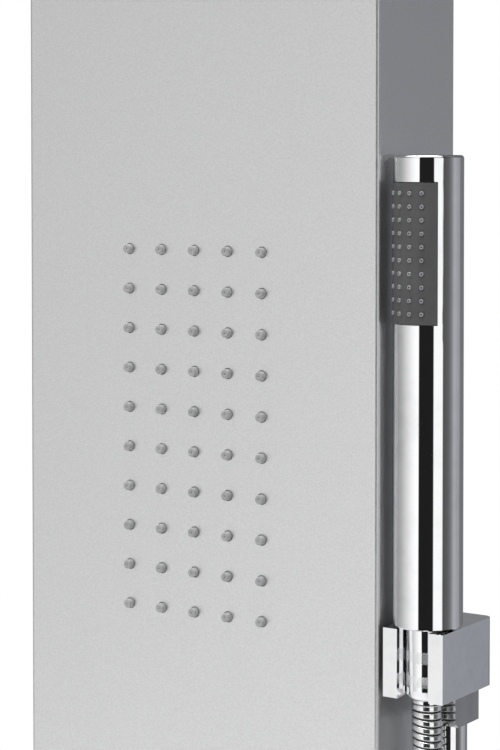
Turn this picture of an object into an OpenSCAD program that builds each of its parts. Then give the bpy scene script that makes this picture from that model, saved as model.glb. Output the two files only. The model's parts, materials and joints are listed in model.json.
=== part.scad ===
// Rainfall shower column: a folded sheet column with a field of body jets, a stick handset on a
// side bracket, a mixer, a diverter and an overhead rain head on a ball joint.
// X is to the right, Z is up, the front faces -Y, and the wall is the plane Y = 0.
// The origin is the middle of the four wall screw holes, on the wall.

/* [Column] */
// Width of the column
column_w = 200; // [180:1:260]
// Depth of the column from the wall to its front face
column_d = 69; // [66:1:90]
// Height of the column with its end caps
column_h = 1400; // [1150:1:1800]
// Thickness of the folded sheet and of the end caps
sheet_t = 1.2; // [1:0.1:1.5]
// Outside radius of the two front folds
fold_r = 2; // [1.6:0.1:4]
// Width of the flanges folded inwards along the back
return_w = 8; // [5:0.5:9]
// Height of the tongue that locates each end cap
cap_tongue_h = 10; // [6:1:16]

/* [Wall fixing] */
// Distance of the wall screw holes from the ends of the column
hanger_inset = 150; // [110:1:200]
// Spacing of the two screw holes in one wall bracket
wall_hole_spacing = 120; // [80:1:130]
// Diameter of the wall screw holes
wall_hole_d = 6.4; // [5:0.1:8]
// Thickness of the wall brackets and hanger bars
hanger_t = 2; // [1.5:0.1:2.5]
// Width of a wall bracket
wall_bracket_w = 150; // [145:1:158]
// Height of the plate of a wall bracket
wall_bracket_h = 40; // [36:1:50]
// Height of the hook on a wall bracket and of the lip that drops behind it
hook_h = 12; // [10:0.5:16]
// Room between the hook and the wall
hook_gap = 6; // [6:0.1:8]

/* [Body jets] */
// Number of jets in one row
jet_cols = 5; // [3:1:5]
// Number of rows of jets
jet_rows = 10; // [6:1:10]
// Spacing of the jets both ways
jet_pitch = 19; // [16:0.5:23]
// Height of the middle of the jet field
jet_z = 150; // [140:1:190]
// Diameter of the holes in the front for the jets
jet_hole_d = 5.3; // [4.8:0.1:6]
// Diameter of a jet nub at its root
jet_root_d = 4.6; // [4:0.1:4.7]
// Diameter of a jet nub at its tip
jet_tip_d = 4.2; // [3.6:0.1:4.6]
// Height of a jet nub in front of the column
jet_proud = 2.8; // [1.5:0.1:4]
// Diameter of the water bore in every nub
nub_bore_d = 1; // [0.8:0.1:1.4]
// Thickness of the soft nozzle mat
jet_mat_t = 2; // [1.5:0.1:3]
// Width of mat around the outermost jets
jet_margin = 14; // [10:0.5:15]
// Depth of the jet box with its mat
jet_box_d = 22; // [18:0.5:24]
// Wall of the jet box
jet_box_wall = 3; // [2:0.1:4]
// Width of the two side flanges of the jet box
jet_flange_w = 14; // [12:0.5:18]
// Diameter of the studs that hold the jet box
stud_d = 4; // [3:0.5:5]

/* [Pipes] */
// Outside diameter of the inner pipes
pipe_d = 12; // [10:0.5:13]
// Wall of the inner pipes
pipe_wall = 1.2; // [0.8:0.1:1.5]
// Bend radius of the inner pipes at their middle line
pipe_bend_r = 15; // [13:0.5:16]
// Gap between the jet box and the pipes behind it
jet_box_gap = 4; // [3:0.5:8]
// Distance of the two side pipe runs from the middle of the column
side_run_x = 46; // [44:0.5:50]
// Depth of the pipe sockets
socket_depth = 8; // [6:0.5:10]
// Wall around a pipe socket
socket_wall = 3; // [2:0.1:4]
// Distance of the water inlets from the inner sides of the column
supply_side_gap = 23.8; // [20:0.1:26]
// Drop of the water inlets below the mixer
supply_drop = 100; // [80:1:140]
// Thread diameter of the inlet nuts
supply_thread_d = 21; // [20:0.1:22]
// Width across flats of the inlet nuts
supply_nut_af = 27; // [26:0.5:28]
// Length of the inlet nuts
supply_nut_l = 14; // [12:0.5:16]
// Length of thread in the inlet nuts
supply_thread_l = 10.5; // [8:0.5:10.5]

/* [Mixer] */
// Height of the mixer
mixer_z = -330; // [-360:1:-310]
// Diameter of the mixer body
mixer_body_d = 44; // [42:0.5:50]
// Diameter of the mixer cartridge
mixer_cartridge_d = 35; // [32:0.5:36]
// Diameter of the mixer escutcheon
mixer_escutcheon_d = 68; // [60:1:80]
// Outside radius of the domed lever cap
lever_dome_r = 27; // [26:0.5:32]
// Wall of the domed lever cap
lever_dome_wall = 3; // [2.5:0.1:4]
// Distance of the lever pivot in front of the column
lever_pivot_out = 22; // [21:0.5:26]
// Length of the lever rod from the pivot
lever_l = 92; // [70:1:110]
// Diameter of the lever rod
lever_rod_d = 8; // [6:0.5:9]
// Angle of the closed lever below straight forward
lever_droop = 62; // [50:1:70]

/* [Diverter] */
// Height of the diverter
diverter_z = -150; // [-180:1:-145]
// Diameter of the diverter body
diverter_body_d = 34; // [32:0.5:38]
// Diameter of the diverter cartridge
diverter_cartridge_d = 21.6; // [20:0.1:22]
// Diameter of the diverter escutcheon
diverter_escutcheon_d = 60; // [50:1:70]
// Diameter of the diverter knob
diverter_knob_d = 44; // [36:1:50]
// Length of the diverter knob
diverter_knob_l = 23; // [18:0.5:30]
// Diameter of the diverter spindle
diverter_spindle_d = 8; // [6:0.5:9]

/* [Handset bracket] */
// Width of the bracket away from the column
bracket_w = 30.2; // [28:0.1:36]
// Depth of the bracket
bracket_d = 47.6; // [40:0.1:50]
// Height of the bracket
bracket_h = 31; // [26:0.5:38]
// Height of the underside of the bracket
bracket_z = 38.8; // [30:0.1:50]
// Distance of the bracket's front behind the front of the column
bracket_setback = 0.7; // [0:0.1:4]
// Thickness of the gasket between the bracket and the column
gasket_t = 2.4; // [2.4:0.1:4]
// Distance of the handset's axis behind the front of the bracket
seat_setback = 13.4; // [12.5:0.1:16]
// Width of the slot that the hose passes through
slot_w = 16; // [15:0.1:17]
// Radius of the rounded back corner of the bracket
bracket_corner_r = 4; // [2:0.5:6]
// Diameter of the water nipple that joins the bracket to the column
nipple_d = 13.2; // [12:0.1:14]
// Diameter of the two bracket screws
bracket_screw_d = 4; // [3:0.5:4]

/* [Outlet] */
// Width of the outlet block
outlet_w = 20; // [18:0.5:24]
// Depth of the outlet block
outlet_d = 22.4; // [19:0.1:22.4]
// Height of the outlet block
outlet_h = 16; // [11:0.5:18]
// Diameter of the smooth hose nut under the outlet block
outlet_nut_d = 17.8; // [17:0.1:19]
// Length of the smooth hose nut
outlet_nut_l = 30; // [26:0.5:34]

/* [Handset] */
// Length of the handset
handset_l = 209.5; // [200:0.5:240]
// Diameter of the handset at its foot
handset_foot_d = 31.8; // [31:0.1:32.4]
// Diameter of the handset under its cap
handset_top_d = 31.4; // [30:0.1:32.4]
// Wall of the handset
handset_wall = 2; // [1.8:0.1:2.1]
// Gap between the nut and the foot of the handset
handset_gap = 0.5; // [0.4:0.1:2]
// Height of the end cap of the handset
handset_cap_h = 2; // [2:0.1:4]
// Radius of the edge of the end cap
handset_cap_r = 1.5; // [1:0.1:1.8]
// Distance of the spray plate below the top of the handset
spray_drop = 11.8; // [10:0.1:16]
// Length of the spray plate
spray_l = 63; // [58:0.1:70]
// Sector of the handset that the spray plate takes up
spray_angle = 111.4; // [100:0.1:120]
// Turn of the middle of the spray plate from straight forward, towards the column
spray_turn = 11.8; // [0:0.1:20]
// Height of the spray plate in front of the handset
spray_proud = 0.4; // [0.2:0.1:0.6]
// Number of rows of nubs on the spray plate
spray_rows = 10; // [8:1:10]
// Spacing of the rows of nubs
spray_pitch = 5.9; // [5:0.1:6]
// Number of columns of nubs
spray_cols = 4; // [3:1:5]
// Angle between the columns of nubs
spray_step = 20; // [18:0.5:22]
// Diameter of a handset nub
spray_nub_d = 2.2; // [1.8:0.1:2.6]
// Height of a handset nub in front of the spray plate
spray_nub_h = 0.6; // [0.4:0.1:0.9]

/* [Hose] */
// Outside diameter of the hose
hose_d = 14; // [12:0.5:14]
// Length of the knurled nut
hose_nut_l = 32.6; // [28:0.1:38]
// Distance that the hose nut reaches below its bracket
nut_drop = 1.3; // [0:0.1:3]
// Diameter of the knurled nut at its top
hose_nut_top_d = 19.9; // [19.5:0.1:21]
// Diameter of the knurled nut near its foot
hose_nut_foot_d = 18.8; // [18:0.1:19.4]
// Diameter of the handset thread
handset_thread_d = 16.6; // [16:0.1:17]
// Length of the collar where the hose enters a ferrule
ferrule_collar_l = 1.4; // [1:0.1:3]

/* [Rain arm and head] */
// Distance of the rain arm below the top of the column
arm_drop = 60; // [50:1:100]
// Reach of the rain arm in front of the column
arm_reach = 330; // [280:1:420]
// Diameter of the rain arm
arm_d = 22; // [20:0.5:25]
// Wall of the rain arm
arm_wall = 2; // [1.5:0.1:2.5]
// Bend radius of the rain arm
arm_bend_r = 45; // [35:1:60]
// Straight length below the bend
arm_tail = 30; // [20:1:50]
// Diameter of the flange around the arm
arm_flange_d = 56; // [50:1:70]
// Diameter of the ball
ball_d = 20; // [18:0.5:22]
// Diameter of the ball nut
ball_nut_d = 34; // [32:0.5:40]
// Diameter of the rain head
rain_d = 220; // [180:1:260]
// Height of the rim of the rain head
rain_rim_h = 10; // [9:0.5:16]
// Thickness of the shell and faceplate of the rain head
rain_t = 1.5; // [1:0.1:2]
// Number of rings of nozzles around the middle one
rain_rings = 4; // [3:1:5]
// Spacing of the rings of nozzles
rain_pitch = 22; // [18:0.5:25]
// Diameter of the holes in the faceplate
rain_hole_d = 4.4; // [4:0.1:5]
// Diameter of a rain nub
rain_nub_d = 3.9; // [3.4:0.1:3.9]
// Height of a rain nub below the faceplate
rain_nub_h = 2.5; // [1.5:0.1:4]

/* [Clearances] */
// Clearance of a pipe in its socket, all round
pipe_fit = 0.15; // [0.1:0.05:0.3]
// Clearance of a part that is pushed or screwed into another, all round
push_fit = 0.15; // [0.1:0.05:0.25]
// Clearance between parts that turn or slide on each other, all round
run_fit = 0.3; // [0.2:0.05:0.4]

/* [Hidden] */
$fn = 64;
cut = 1; // how far a cutting shape runs past the face that it opens
small_fn = 24;

front_y = -column_d;
inner_front_y = front_y + sheet_t;
side_x = column_w / 2;
inner_x = side_x - sheet_t;
top_z = column_h / 2;
shell_top_z = top_z - sheet_t;

hanger_z = top_z - hanger_inset; // height of the upper wall holes, and below the origin of the lower
hole_to_hook = 23; // height of the hook's shelf above the wall holes
lip_clear = 1; // room around the dropped lip

field_w = (jet_cols - 1) * jet_pitch;
field_h = (jet_rows - 1) * jet_pitch;
mat_w = field_w + 2 * jet_margin;
mat_h = field_h + 2 * jet_margin;
box_back_y = inner_front_y + jet_box_d;
jet_boss_z = jet_z - mat_h / 2 + 10;
pipe_in = socket_depth - 0.5; // a pipe stops short of the foot of its socket
stud_x = mat_w / 2 + jet_flange_w / 2;
stud_head_d = 2 * stud_d - 1;
stud_nut_h = 0.8 * stud_d;

pipe_r = pipe_d / 2;
pipe_y = box_back_y + jet_box_gap + pipe_r; // the plane that every inner pipe lies in
socket_r = pipe_r + pipe_fit;
stub_r = socket_r + socket_wall;
water_r = pipe_r - pipe_wall;
valve_back_y = pipe_y + stub_r + 1.5;
supply_x = inner_x - supply_side_gap;
supply_lowest_z = hole_to_hook + hook_h - hanger_z + 0.6 * supply_nut_af + 3; // clear of the wall bracket
supply_z = max(mixer_z - supply_drop, supply_lowest_z);

mount_ring_t = 3;
escutcheon_t = 5;
neck_out = 7; // how far a valve neck stands in front of the column
mixer_bore_r = mixer_cartridge_d / 2 + push_fit;
mixer_nose_r = mixer_cartridge_d / 2 - 4.5;
mixer_nose_l = 26;
mixer_shoulder_l = 18;
mixer_neck_r = mixer_bore_r + 1.2;
mixer_stub = mixer_body_d / 2 + 12;
mixer_chamber_y = inner_front_y + 20;
spindle_r = 6;
pivot_y = front_y - lever_pivot_out;
pivot_pin_r = 1.5;
tongue_w = 4;
tongue_r = 4;
sleeve_r = 19.4;
sleeve_end_y = pivot_y - 9;
dome_cover = 80; // degrees from straight forward to the rim of the domed cap

diverter_bore_r = diverter_cartridge_d / 2 + push_fit;
diverter_cartridge_l = 20;
diverter_neck_r = diverter_bore_r + 1.8;
diverter_stub = diverter_body_d / 2 + 11;
diverter_chamber_y = inner_front_y + 20;
diverter_spindle_r = diverter_spindle_d / 2;
knob_back_y = front_y - 10;
knob_front_y = knob_back_y - diverter_knob_l;
grub_r = 1.5;

bracket_x = side_x + gasket_t;
bracket_front_y = front_y + bracket_setback;
bracket_back_y = bracket_front_y + bracket_d;
bracket_top_z = bracket_z + bracket_h;
axis_x = bracket_x + bracket_w / 2; // the handset and both hose ends hang at this distance
axis_y = bracket_front_y + seat_setback;
nipple_r = nipple_d / 2;
nipple_z = bracket_z + bracket_h / 2;
nipple_in_x = side_x - 18;
nipple_out_x = bracket_x + 8;
bracket_screw_y = pipe_y + nipple_r + 2.4;
bracket_screw_inset = 4.6;

outlet_top_z = bracket_z;
outlet_bottom_z = bracket_z - outlet_h;
outlet_nut_z = outlet_bottom_z - outlet_nut_l;
spigot_r = outlet_nut_d / 2 - 1.9;
sleeve_hose_r = 5.3; // radius of the ferrule sleeve that the hose is crimped to
lip_h = 7.5; // height of the closed foot of a hose nut
flange_t = 1.8;

nut_z = bracket_z - nut_drop;
nut_top_z = nut_z + hose_nut_l;
seat_top_r = hose_nut_top_d / 2 + run_fit;
seat_foot_r = hose_nut_foot_d / 2 + run_fit;
thread_r = handset_thread_d / 2;
nut_chamfer = 2.2;
washer_t = 2;
washer_z = nut_z + lip_h + flange_t + 2 * run_fit;
thread_z = washer_z + washer_t;
foot_z = nut_top_z + handset_gap;
handset_top_z = foot_z + handset_l;
cap_z = handset_top_z - handset_cap_h;
foot_r = handset_foot_d / 2;
head_r = handset_top_d / 2;
handset_inner_r = head_r - handset_wall;
foot_floor = 4;
spray_top_z = handset_top_z - spray_drop;
spray_z = spray_top_z - spray_l;
spray_r = foot_r + spray_proud;
plate_in_r = handset_inner_r - 0.5;
mat_in_r = plate_in_r - 1.7;
chamber_r = mat_in_r - 0.2;
chamber_z = spray_z - 5;
chamber_top_z = spray_top_z + 2;
way_r = 6.5;
way_bore_r = 4.5;

arm_z = top_z - arm_drop;
arm_r = arm_d / 2;
arm_y = front_y - arm_reach;
arm_thread_r = arm_r - 0.7;
elbow_foot_z = arm_z - 20.5;
arm_end_z = arm_z - arm_bend_r - arm_tail;
ball_r = ball_d / 2;
ball_z = arm_end_z - 2 * ball_r;
nut_up = 8;
nut_down = 20;
ball_opening_r = 0.86 * ball_r;
ball_seal_t = 1.4;
ball_seal_top = 0.63 * ball_r; // the seal is a band of a sphere, this far below the ball's centre
ball_seal_foot = 0.87 * ball_r;
rain_spigot_r = ball_nut_d / 2 - 4.2;
rain_top_z = ball_z - nut_down - 6;
rain_bottom_z = rain_top_z - rain_rim_h;
rain_plate_z = rain_bottom_z + rain_t;

outlet_hose_z = outlet_nut_z - ferrule_collar_l - 0.3;
handset_hose_z = nut_z - ferrule_collar_l - 0.3;
// Points of the free hose: how far outside the handset's axis each one is, then its Y and its height
free_hose = [
  [0.5, -36, -45], [0.5, -36, -85], [0.5, -35, -125], [0.5, -33, -165], [0.5, -31, -205],
  [1.5, -29, -245], [1.5, -27, -285], [2.5, -25, -325], [2.5, -23, -365], [3.5, -21, -405],
  [3.5, -19, -445], [4.5, -18, -485], [4.5, -17, -525], [4.5, -16, -565], [4.5, -17, -600],
  [4.5, -21, -635], [4.5, -33, -665], [4.5, -52, -687], [4.5, -78, -695], [4.5, -104, -687],
  [4.5, -124, -667], [4.5, -136, -638], [4.5, -139, -603], [4.5, -137, -565],
  [4.5, -132, -525], [4.5, -125, -485], [4.5, -118, -445], [3.5, -111, -405],
  [3.5, -104, -365], [2.5, -97, -325], [2.5, -90, -285], [1.5, -83, -245], [1.5, -77, -205],
  [0.5, -71, -165], [0.5, -66, -125], [0.5, -61, -85], [0.5, -57, -45], [0.5, -55, -5]];
hose_route = concat([[axis_x, pipe_y, outlet_hose_z]],
                    [for (p = free_hose) [axis_x + p.x, p.y, p.z]],
                    [[axis_x, axis_y, handset_hose_z]]);
hose_sides = 10;

// ---- Shared shapes ----

// Outline of the column seen from above: square at the wall, rounded at the two front folds
module folded_outline(w, d, r) {
  translate([-w / 2, r - d]) square([w, d - r]);
  translate([r - w / 2, -d]) square([w - 2 * r, d]);
  for (s = [-1, 1]) translate([s * (w / 2 - r), r - d]) circle(r);
}

// Cylinder along Y from y0 to y1, round the axis at x, z
module y_cylinder(x, z, r, y0, y1) {
  translate([x, min(y0, y1), z]) rotate([-90, 0, 0]) cylinder(r = r, h = abs(y1 - y0));
}

// Cylinder along X from x0 to x1, round the axis at y, z
module x_cylinder(y, z, r, x0, x1) {
  translate([min(x0, x1), y, z]) rotate([0, 90, 0]) cylinder(r = r, h = abs(x1 - x0));
}

// Cylinder along Z from z0 to z1, round the axis at x, y
module z_cylinder(x, y, r, z0, z1) {
  translate([x, y, min(z0, z1)]) cylinder(r = r, h = abs(z1 - z0));
}

// Ring along Y with an outer and an inner radius
module y_ring(x, z, r, hole_r, y0, y1) {
  difference() {
    y_cylinder(x, z, r, y0, y1);
    y_cylinder(x, z, hole_r, min(y0, y1) - cut, max(y0, y1) + cut);
  }
}

// Places its children at every jet of the field, on the front face
module at_jets() {
  for (c = [0 : jet_cols - 1], r = [0 : jet_rows - 1])
    translate([c * jet_pitch - field_w / 2, front_y, jet_z + r * jet_pitch - field_h / 2]) children();
}

// Straight pipe in the pipe plane, from one point to another along X or Z
module pipe_run(x0, z0, x1, z1) {
  translate([0, pipe_y, 0]) difference() {
    if (x0 == x1) z_cylinder(x0, 0, pipe_r, z0, z1);
    else x_cylinder(0, z0, pipe_r, x0, x1);
    if (x0 == x1) z_cylinder(x0, 0, water_r, min(z0, z1) - cut, max(z0, z1) + cut);
    else x_cylinder(0, z0, water_r, min(x0, x1) - cut, max(x0, x1) + cut);
  }
}

// Quarter bend of pipe round the Z axis, from +X to +Y
module quarter_bend() {
  rotate_extrude(angle = 90) translate([pipe_bend_r, 0]) difference() {
    circle(pipe_r);
    circle(water_r);
  }
}

// Quarter bend in the pipe plane about the centre x, z, starting at the given angle
module pipe_bend(x, z, start) {
  translate([x, pipe_y, z]) rotate([90, 0, 0]) rotate([0, 0, start]) quarter_bend();
}

// Solid of a valve body: the barrel, its neck, and a stub for each direction in degrees
module valve_solid(z, body_r, neck_r, stub_end, directions) {
  y_cylinder(0, z, body_r, inner_front_y, valve_back_y);
  y_cylinder(0, z, neck_r, inner_front_y - neck_out - sheet_t, inner_front_y + cut);
  for (a = directions) translate([0, pipe_y, z]) rotate([0, a, 0]) cylinder(r = stub_r, h = stub_end);
}

// What is bored out of a valve body: cartridge chamber, waterways and pipe sockets
module valve_bores(z, bore_r, chamber_y, stub_end, directions) {
  y_cylinder(0, z, bore_r, chamber_y, inner_front_y - neck_out - sheet_t - cut);
  for (a = directions) translate([0, pipe_y, z]) rotate([0, a, 0]) {
    translate([0, 0, stub_end - socket_depth]) cylinder(r = socket_r, h = socket_depth + cut);
    translate([0, 0, 4]) cylinder(r = 3.5, h = stub_end - socket_depth - 3);
    translate([0, 0, 7]) rotate([90, 0, 0]) cylinder(r = 2.5, h = pipe_y - chamber_y + cut);
  }
}

// Body round the handset's axis from a half section
module about_handset() {
  translate([axis_x, axis_y, 0]) rotate_extrude() children();
}

// Sector about the handset's axis, centred on the middle of the spray plate
module spray_sector(r0, r1, z0, z1, angle) {
  translate([axis_x, axis_y, 0]) rotate([0, 0, -90 - spray_turn - angle / 2])
    rotate_extrude(angle = angle) translate([r0, z0]) square([r1 - r0, z1 - z0]);
}

// Places its children at every nub of the spray plate, with +X pointing outwards
module at_spray_nubs() {
  for (c = [0 : spray_cols - 1], r = [0 : spray_rows - 1])
    translate([axis_x, axis_y, spray_z + spray_l / 2 + (r - (spray_rows - 1) / 2) * spray_pitch])
      rotate([0, 0, -90 - spray_turn + (c - (spray_cols - 1) / 2) * spray_step]) children();
}

// Places its children at the rain nozzles: one in the middle and six more in every ring
module at_rain_nozzles() {
  for (ring = [0 : rain_rings], i = [0 : max(1, 6 * ring) - 1])
    rotate([0, 0, 360 * i / max(1, 6 * ring)]) translate([ring * rain_pitch, 0, 0]) children();
}

// ---- Column and wall fixing ----

module column_shell() {
  color("silver") difference() {
    translate([0, 0, -shell_top_z]) linear_extrude(2 * shell_top_z) {
      difference() {
        folded_outline(column_w, column_d, fold_r);
        translate([0, cut])
          folded_outline(2 * inner_x, column_d - sheet_t + cut, fold_r - sheet_t);
      }
      for (s = [-1, 1])
        translate([s * (inner_x - return_w / 2 + sheet_t / 4), -sheet_t / 2])
          square([return_w + sheet_t / 2, sheet_t], center = true);
    }
    at_jets() rotate([-90, 0, 0]) translate([0, 0, -cut]) cylinder(d = jet_hole_d, h = sheet_t + 2 * cut);
    y_cylinder(0, mixer_z, mixer_neck_r + push_fit, front_y - cut, inner_front_y + cut);
    y_cylinder(0, diverter_z, diverter_neck_r + push_fit, front_y - cut, inner_front_y + cut);
    y_cylinder(0, arm_z, arm_thread_r + push_fit, front_y - cut, inner_front_y + cut);
    x_cylinder(pipe_y, nipple_z, nipple_r + push_fit, inner_x - cut, side_x + cut);
    at_bracket_screws() x_cylinder(0, 0, bracket_screw_d / 2 + push_fit, inner_x - cut, side_x + cut);
  }
}

// End cap with its outer face at z = 0 and its tongue below
module end_cap() {
  insert_w = 2 * (inner_x - push_fit);
  insert_d = column_d - sheet_t - push_fit;
  insert_r = fold_r - sheet_t;
  wall = 2 * sheet_t;
  translate([0, 0, -sheet_t]) linear_extrude(sheet_t) folded_outline(column_w, column_d, fold_r);
  translate([0, 0, -sheet_t - cap_tongue_h]) linear_extrude(cap_tongue_h) difference() {
    translate([0, -2 * sheet_t]) folded_outline(insert_w, insert_d - 2 * sheet_t, insert_r);
    translate([0, -4 * sheet_t])
      folded_outline(insert_w - 2 * wall, insert_d - 4 * sheet_t - wall, insert_r);
  }
}

module top_cap() {
  color("silver") translate([0, 0, top_z]) end_cap();
}

module bottom_cap() {
  color("silver") translate([0, 0, -top_z]) mirror([0, 0, 1]) end_cap();
}

// Wall bracket with its screw holes at z = 0: a plate, a shelf and an upturned hook
module wall_bracket() {
  shelf_d = hook_gap + hanger_t;
  difference() {
    translate([-wall_bracket_w / 2, -hanger_t, hole_to_hook - wall_bracket_h])
      cube([wall_bracket_w, hanger_t, wall_bracket_h]);
    for (s = [-1, 1]) y_cylinder(s * wall_hole_spacing / 2, 0, wall_hole_d / 2, -hanger_t - cut, cut);
  }
  translate([-wall_bracket_w / 2, -shelf_d, hole_to_hook - hanger_t])
    cube([wall_bracket_w, shelf_d, hanger_t]);
  translate([-wall_bracket_w / 2, -shelf_d, hole_to_hook - hanger_t])
    cube([wall_bracket_w, hanger_t, hanger_t + hook_h]);
}

module wall_bracket_upper() {
  color("lightgrey") translate([0, 0, hanger_z]) wall_bracket();
}

module wall_bracket_lower() {
  color("lightgrey") translate([0, 0, -hanger_z]) wall_bracket();
}

// Bar across the column with a lip that drops behind the hook, and a welded tab at each end
module hanger_bar() {
  lip_w = wall_bracket_w - 4;
  bar_z = hole_to_hook + hook_h;
  web_y = -hook_gap - hanger_t - lip_clear;
  lip_y = -(hook_gap + hanger_t) / 2;
  translate([-lip_w / 2, lip_y, bar_z - hook_h + 2 * lip_clear]) cube([lip_w, hanger_t, hook_h]);
  translate([-lip_w / 2, web_y - hanger_t, bar_z])
    cube([lip_w, lip_y - web_y + 2 * hanger_t, hanger_t]);
  translate([-inner_x, web_y - hanger_t, bar_z - hook_h]) cube([2 * inner_x, hanger_t, hook_h + hanger_t]);
  for (s = [-1, 1])
    translate([s * (inner_x - hanger_t / 2), web_y - 7, bar_z + (hanger_t - hook_h) / 2])
      cube([hanger_t, 14, hook_h + hanger_t], center = true);
}

module hanger_bars() {
  color("lightgrey") for (s = [-1, 1]) translate([0, 0, s * hanger_z]) hanger_bar();
}

// ---- Body jets ----

module jet_nozzle_mat() {
  color("gainsboro") difference() {
    union() {
      translate([-mat_w / 2, inner_front_y, jet_z - mat_h / 2]) cube([mat_w, jet_mat_t, mat_h]);
      at_jets() translate([0, -jet_proud, 0]) rotate([-90, 0, 0])
        cylinder(d1 = jet_tip_d, d2 = jet_root_d, h = jet_proud + sheet_t + cut / 2);
    }
    at_jets() translate([0, -jet_proud - cut, 0]) rotate([-90, 0, 0])
      cylinder(d = nub_bore_d, h = jet_proud + sheet_t + jet_mat_t + 2 * cut, $fn = small_fn);
  }
}

// Height of each stud of the jet box above the middle of the field
function stud_heights() = [for (i = [-1, 0, 1]) i * (mat_h / 2 - jet_margin)];

module jet_box() {
  mat_back_y = inner_front_y + jet_mat_t;
  color("dimgray") difference() {
    union() {
      translate([-mat_w / 2, mat_back_y, jet_z - mat_h / 2])
        cube([mat_w, box_back_y - mat_back_y, mat_h]);
      translate([-mat_w / 2 - jet_flange_w, mat_back_y, jet_z - mat_h / 2])
        cube([mat_w + 2 * jet_flange_w, jet_box_wall, mat_h]);
      z_cylinder(-side_run_x, pipe_y, stub_r, jet_boss_z, jet_boss_z + 30);
      translate([-side_run_x - stub_r, box_back_y - cut, jet_boss_z])
        cube([2 * stub_r, pipe_y - box_back_y + cut, 30]);
    }
    translate([jet_box_wall - mat_w / 2, mat_back_y - cut, jet_z - mat_h / 2 + jet_box_wall])
      cube([mat_w - 2 * jet_box_wall, box_back_y - mat_back_y - jet_box_wall + cut,
            mat_h - 2 * jet_box_wall]);
    z_cylinder(-side_run_x, pipe_y, socket_r, jet_boss_z - cut, jet_boss_z + socket_depth);
    z_cylinder(-side_run_x, pipe_y, 3.5, jet_boss_z, jet_boss_z + 24);
    y_cylinder(-side_run_x, jet_boss_z + 20, 3, pipe_y, box_back_y - jet_box_wall - cut);
    for (s = [-1, 1], z = stud_heights())
      y_cylinder(s * stud_x, jet_z + z, stud_d / 2 + push_fit, inner_front_y,
                 mat_back_y + jet_box_wall + cut);
  }
}

module jet_box_studs() {
  color("silver") for (s = [-1, 1], z = stud_heights()) {
    y_cylinder(s * stud_x, jet_z + z, stud_d / 2, inner_front_y, inner_front_y + 14);
    y_cylinder(s * stud_x, jet_z + z, stud_head_d / 2, inner_front_y, inner_front_y + jet_mat_t);
  }
}

module jet_box_nuts() {
  nut_y = inner_front_y + jet_mat_t + jet_box_wall;
  color("silver") for (s = [-1, 1], z = stud_heights())
    difference() {
      translate([s * stud_x, nut_y, jet_z + z]) rotate([-90, 0, 0])
        cylinder(d = 2 * stud_d, h = stud_nut_h, $fn = 6);
      y_cylinder(s * stud_x, jet_z + z, stud_d / 2 + push_fit, nut_y - cut, nut_y + stud_nut_h + cut);
    }
}

// ---- Pipes ----

module jets_pipe() {
  start_x = diverter_stub - pipe_in;
  end_z = jet_boss_z + pipe_in;
  color("peru") {
    pipe_run(-start_x, diverter_z, pipe_bend_r - side_run_x, diverter_z);
    pipe_bend(pipe_bend_r - side_run_x, diverter_z + pipe_bend_r, 180);
    pipe_run(-side_run_x, diverter_z + pipe_bend_r, -side_run_x, end_z);
  }
}

module outlet_pipe() {
  start_x = diverter_stub - pipe_in;
  color("peru") {
    pipe_run(start_x, diverter_z, side_run_x - pipe_bend_r, diverter_z);
    pipe_bend(side_run_x - pipe_bend_r, diverter_z + pipe_bend_r, 270);
    pipe_run(side_run_x, diverter_z + pipe_bend_r, side_run_x, nipple_z - pipe_bend_r);
    pipe_bend(side_run_x + pipe_bend_r, nipple_z - pipe_bend_r, 90);
    pipe_run(side_run_x + pipe_bend_r, nipple_z, nipple_in_x, nipple_z);
  }
}

module riser_pipe() {
  color("peru")
    pipe_run(0, diverter_z + diverter_stub - pipe_in, 0, elbow_foot_z + pipe_in);
}

module link_pipe() {
  color("peru")
    pipe_run(0, mixer_z + mixer_stub - pipe_in, 0, diverter_z - diverter_stub + pipe_in);
}

// Inlet pipe on one side: out of the mixer, down, and back to the wall
module supply_pipe(side) {
  turn_x = supply_x - pipe_bend_r;
  end_y = -supply_thread_l;
  mirror([side < 0 ? 1 : 0, 0, 0]) {
    pipe_run(mixer_stub - pipe_in, mixer_z, turn_x, mixer_z);
    pipe_bend(turn_x, mixer_z - pipe_bend_r, 0);
    pipe_run(supply_x, mixer_z - pipe_bend_r, supply_x, supply_z + pipe_bend_r);
    translate([supply_x, pipe_y + pipe_bend_r, supply_z + pipe_bend_r])
      rotate([0, 90, 0]) rotate([0, 0, -90]) quarter_bend();
    difference() {
      union() {
        y_cylinder(supply_x, supply_z, pipe_r, pipe_y + pipe_bend_r, end_y);
        y_cylinder(supply_x, supply_z, supply_thread_d / 2 - 0.8, end_y - 1.8, end_y);
      }
      y_cylinder(supply_x, supply_z, water_r, pipe_y + pipe_bend_r - cut, end_y + cut);
    }
  }
}

module supply_pipe_hot() {
  color("peru") supply_pipe(-1);
}

module supply_pipe_cold() {
  color("peru") supply_pipe(1);
}

module supply_nuts() {
  color("gold") for (s = [-1, 1]) difference() {
    translate([s * supply_x, -supply_nut_l, supply_z]) rotate([-90, 0, 0])
      rotate([0, 0, 30]) cylinder(d = supply_nut_af / cos(30), h = supply_nut_l, $fn = 6);
    y_cylinder(s * supply_x, supply_z, pipe_r + run_fit, -supply_nut_l - cut, 0);
    y_cylinder(s * supply_x, supply_z, supply_thread_d / 2 - 0.5, -supply_thread_l - 2, cut);
    y_cylinder(s * supply_x, supply_z, supply_thread_d / 2, -supply_thread_l, cut);
  }
}

// ---- Mixer ----

module mixer_body() {
  ports = [-90, 0, 90];
  color("goldenrod") difference() {
    valve_solid(mixer_z, mixer_body_d / 2, mixer_neck_r, mixer_stub, ports);
    valve_bores(mixer_z, mixer_bore_r, mixer_chamber_y, mixer_stub, ports);
  }
}

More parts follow.
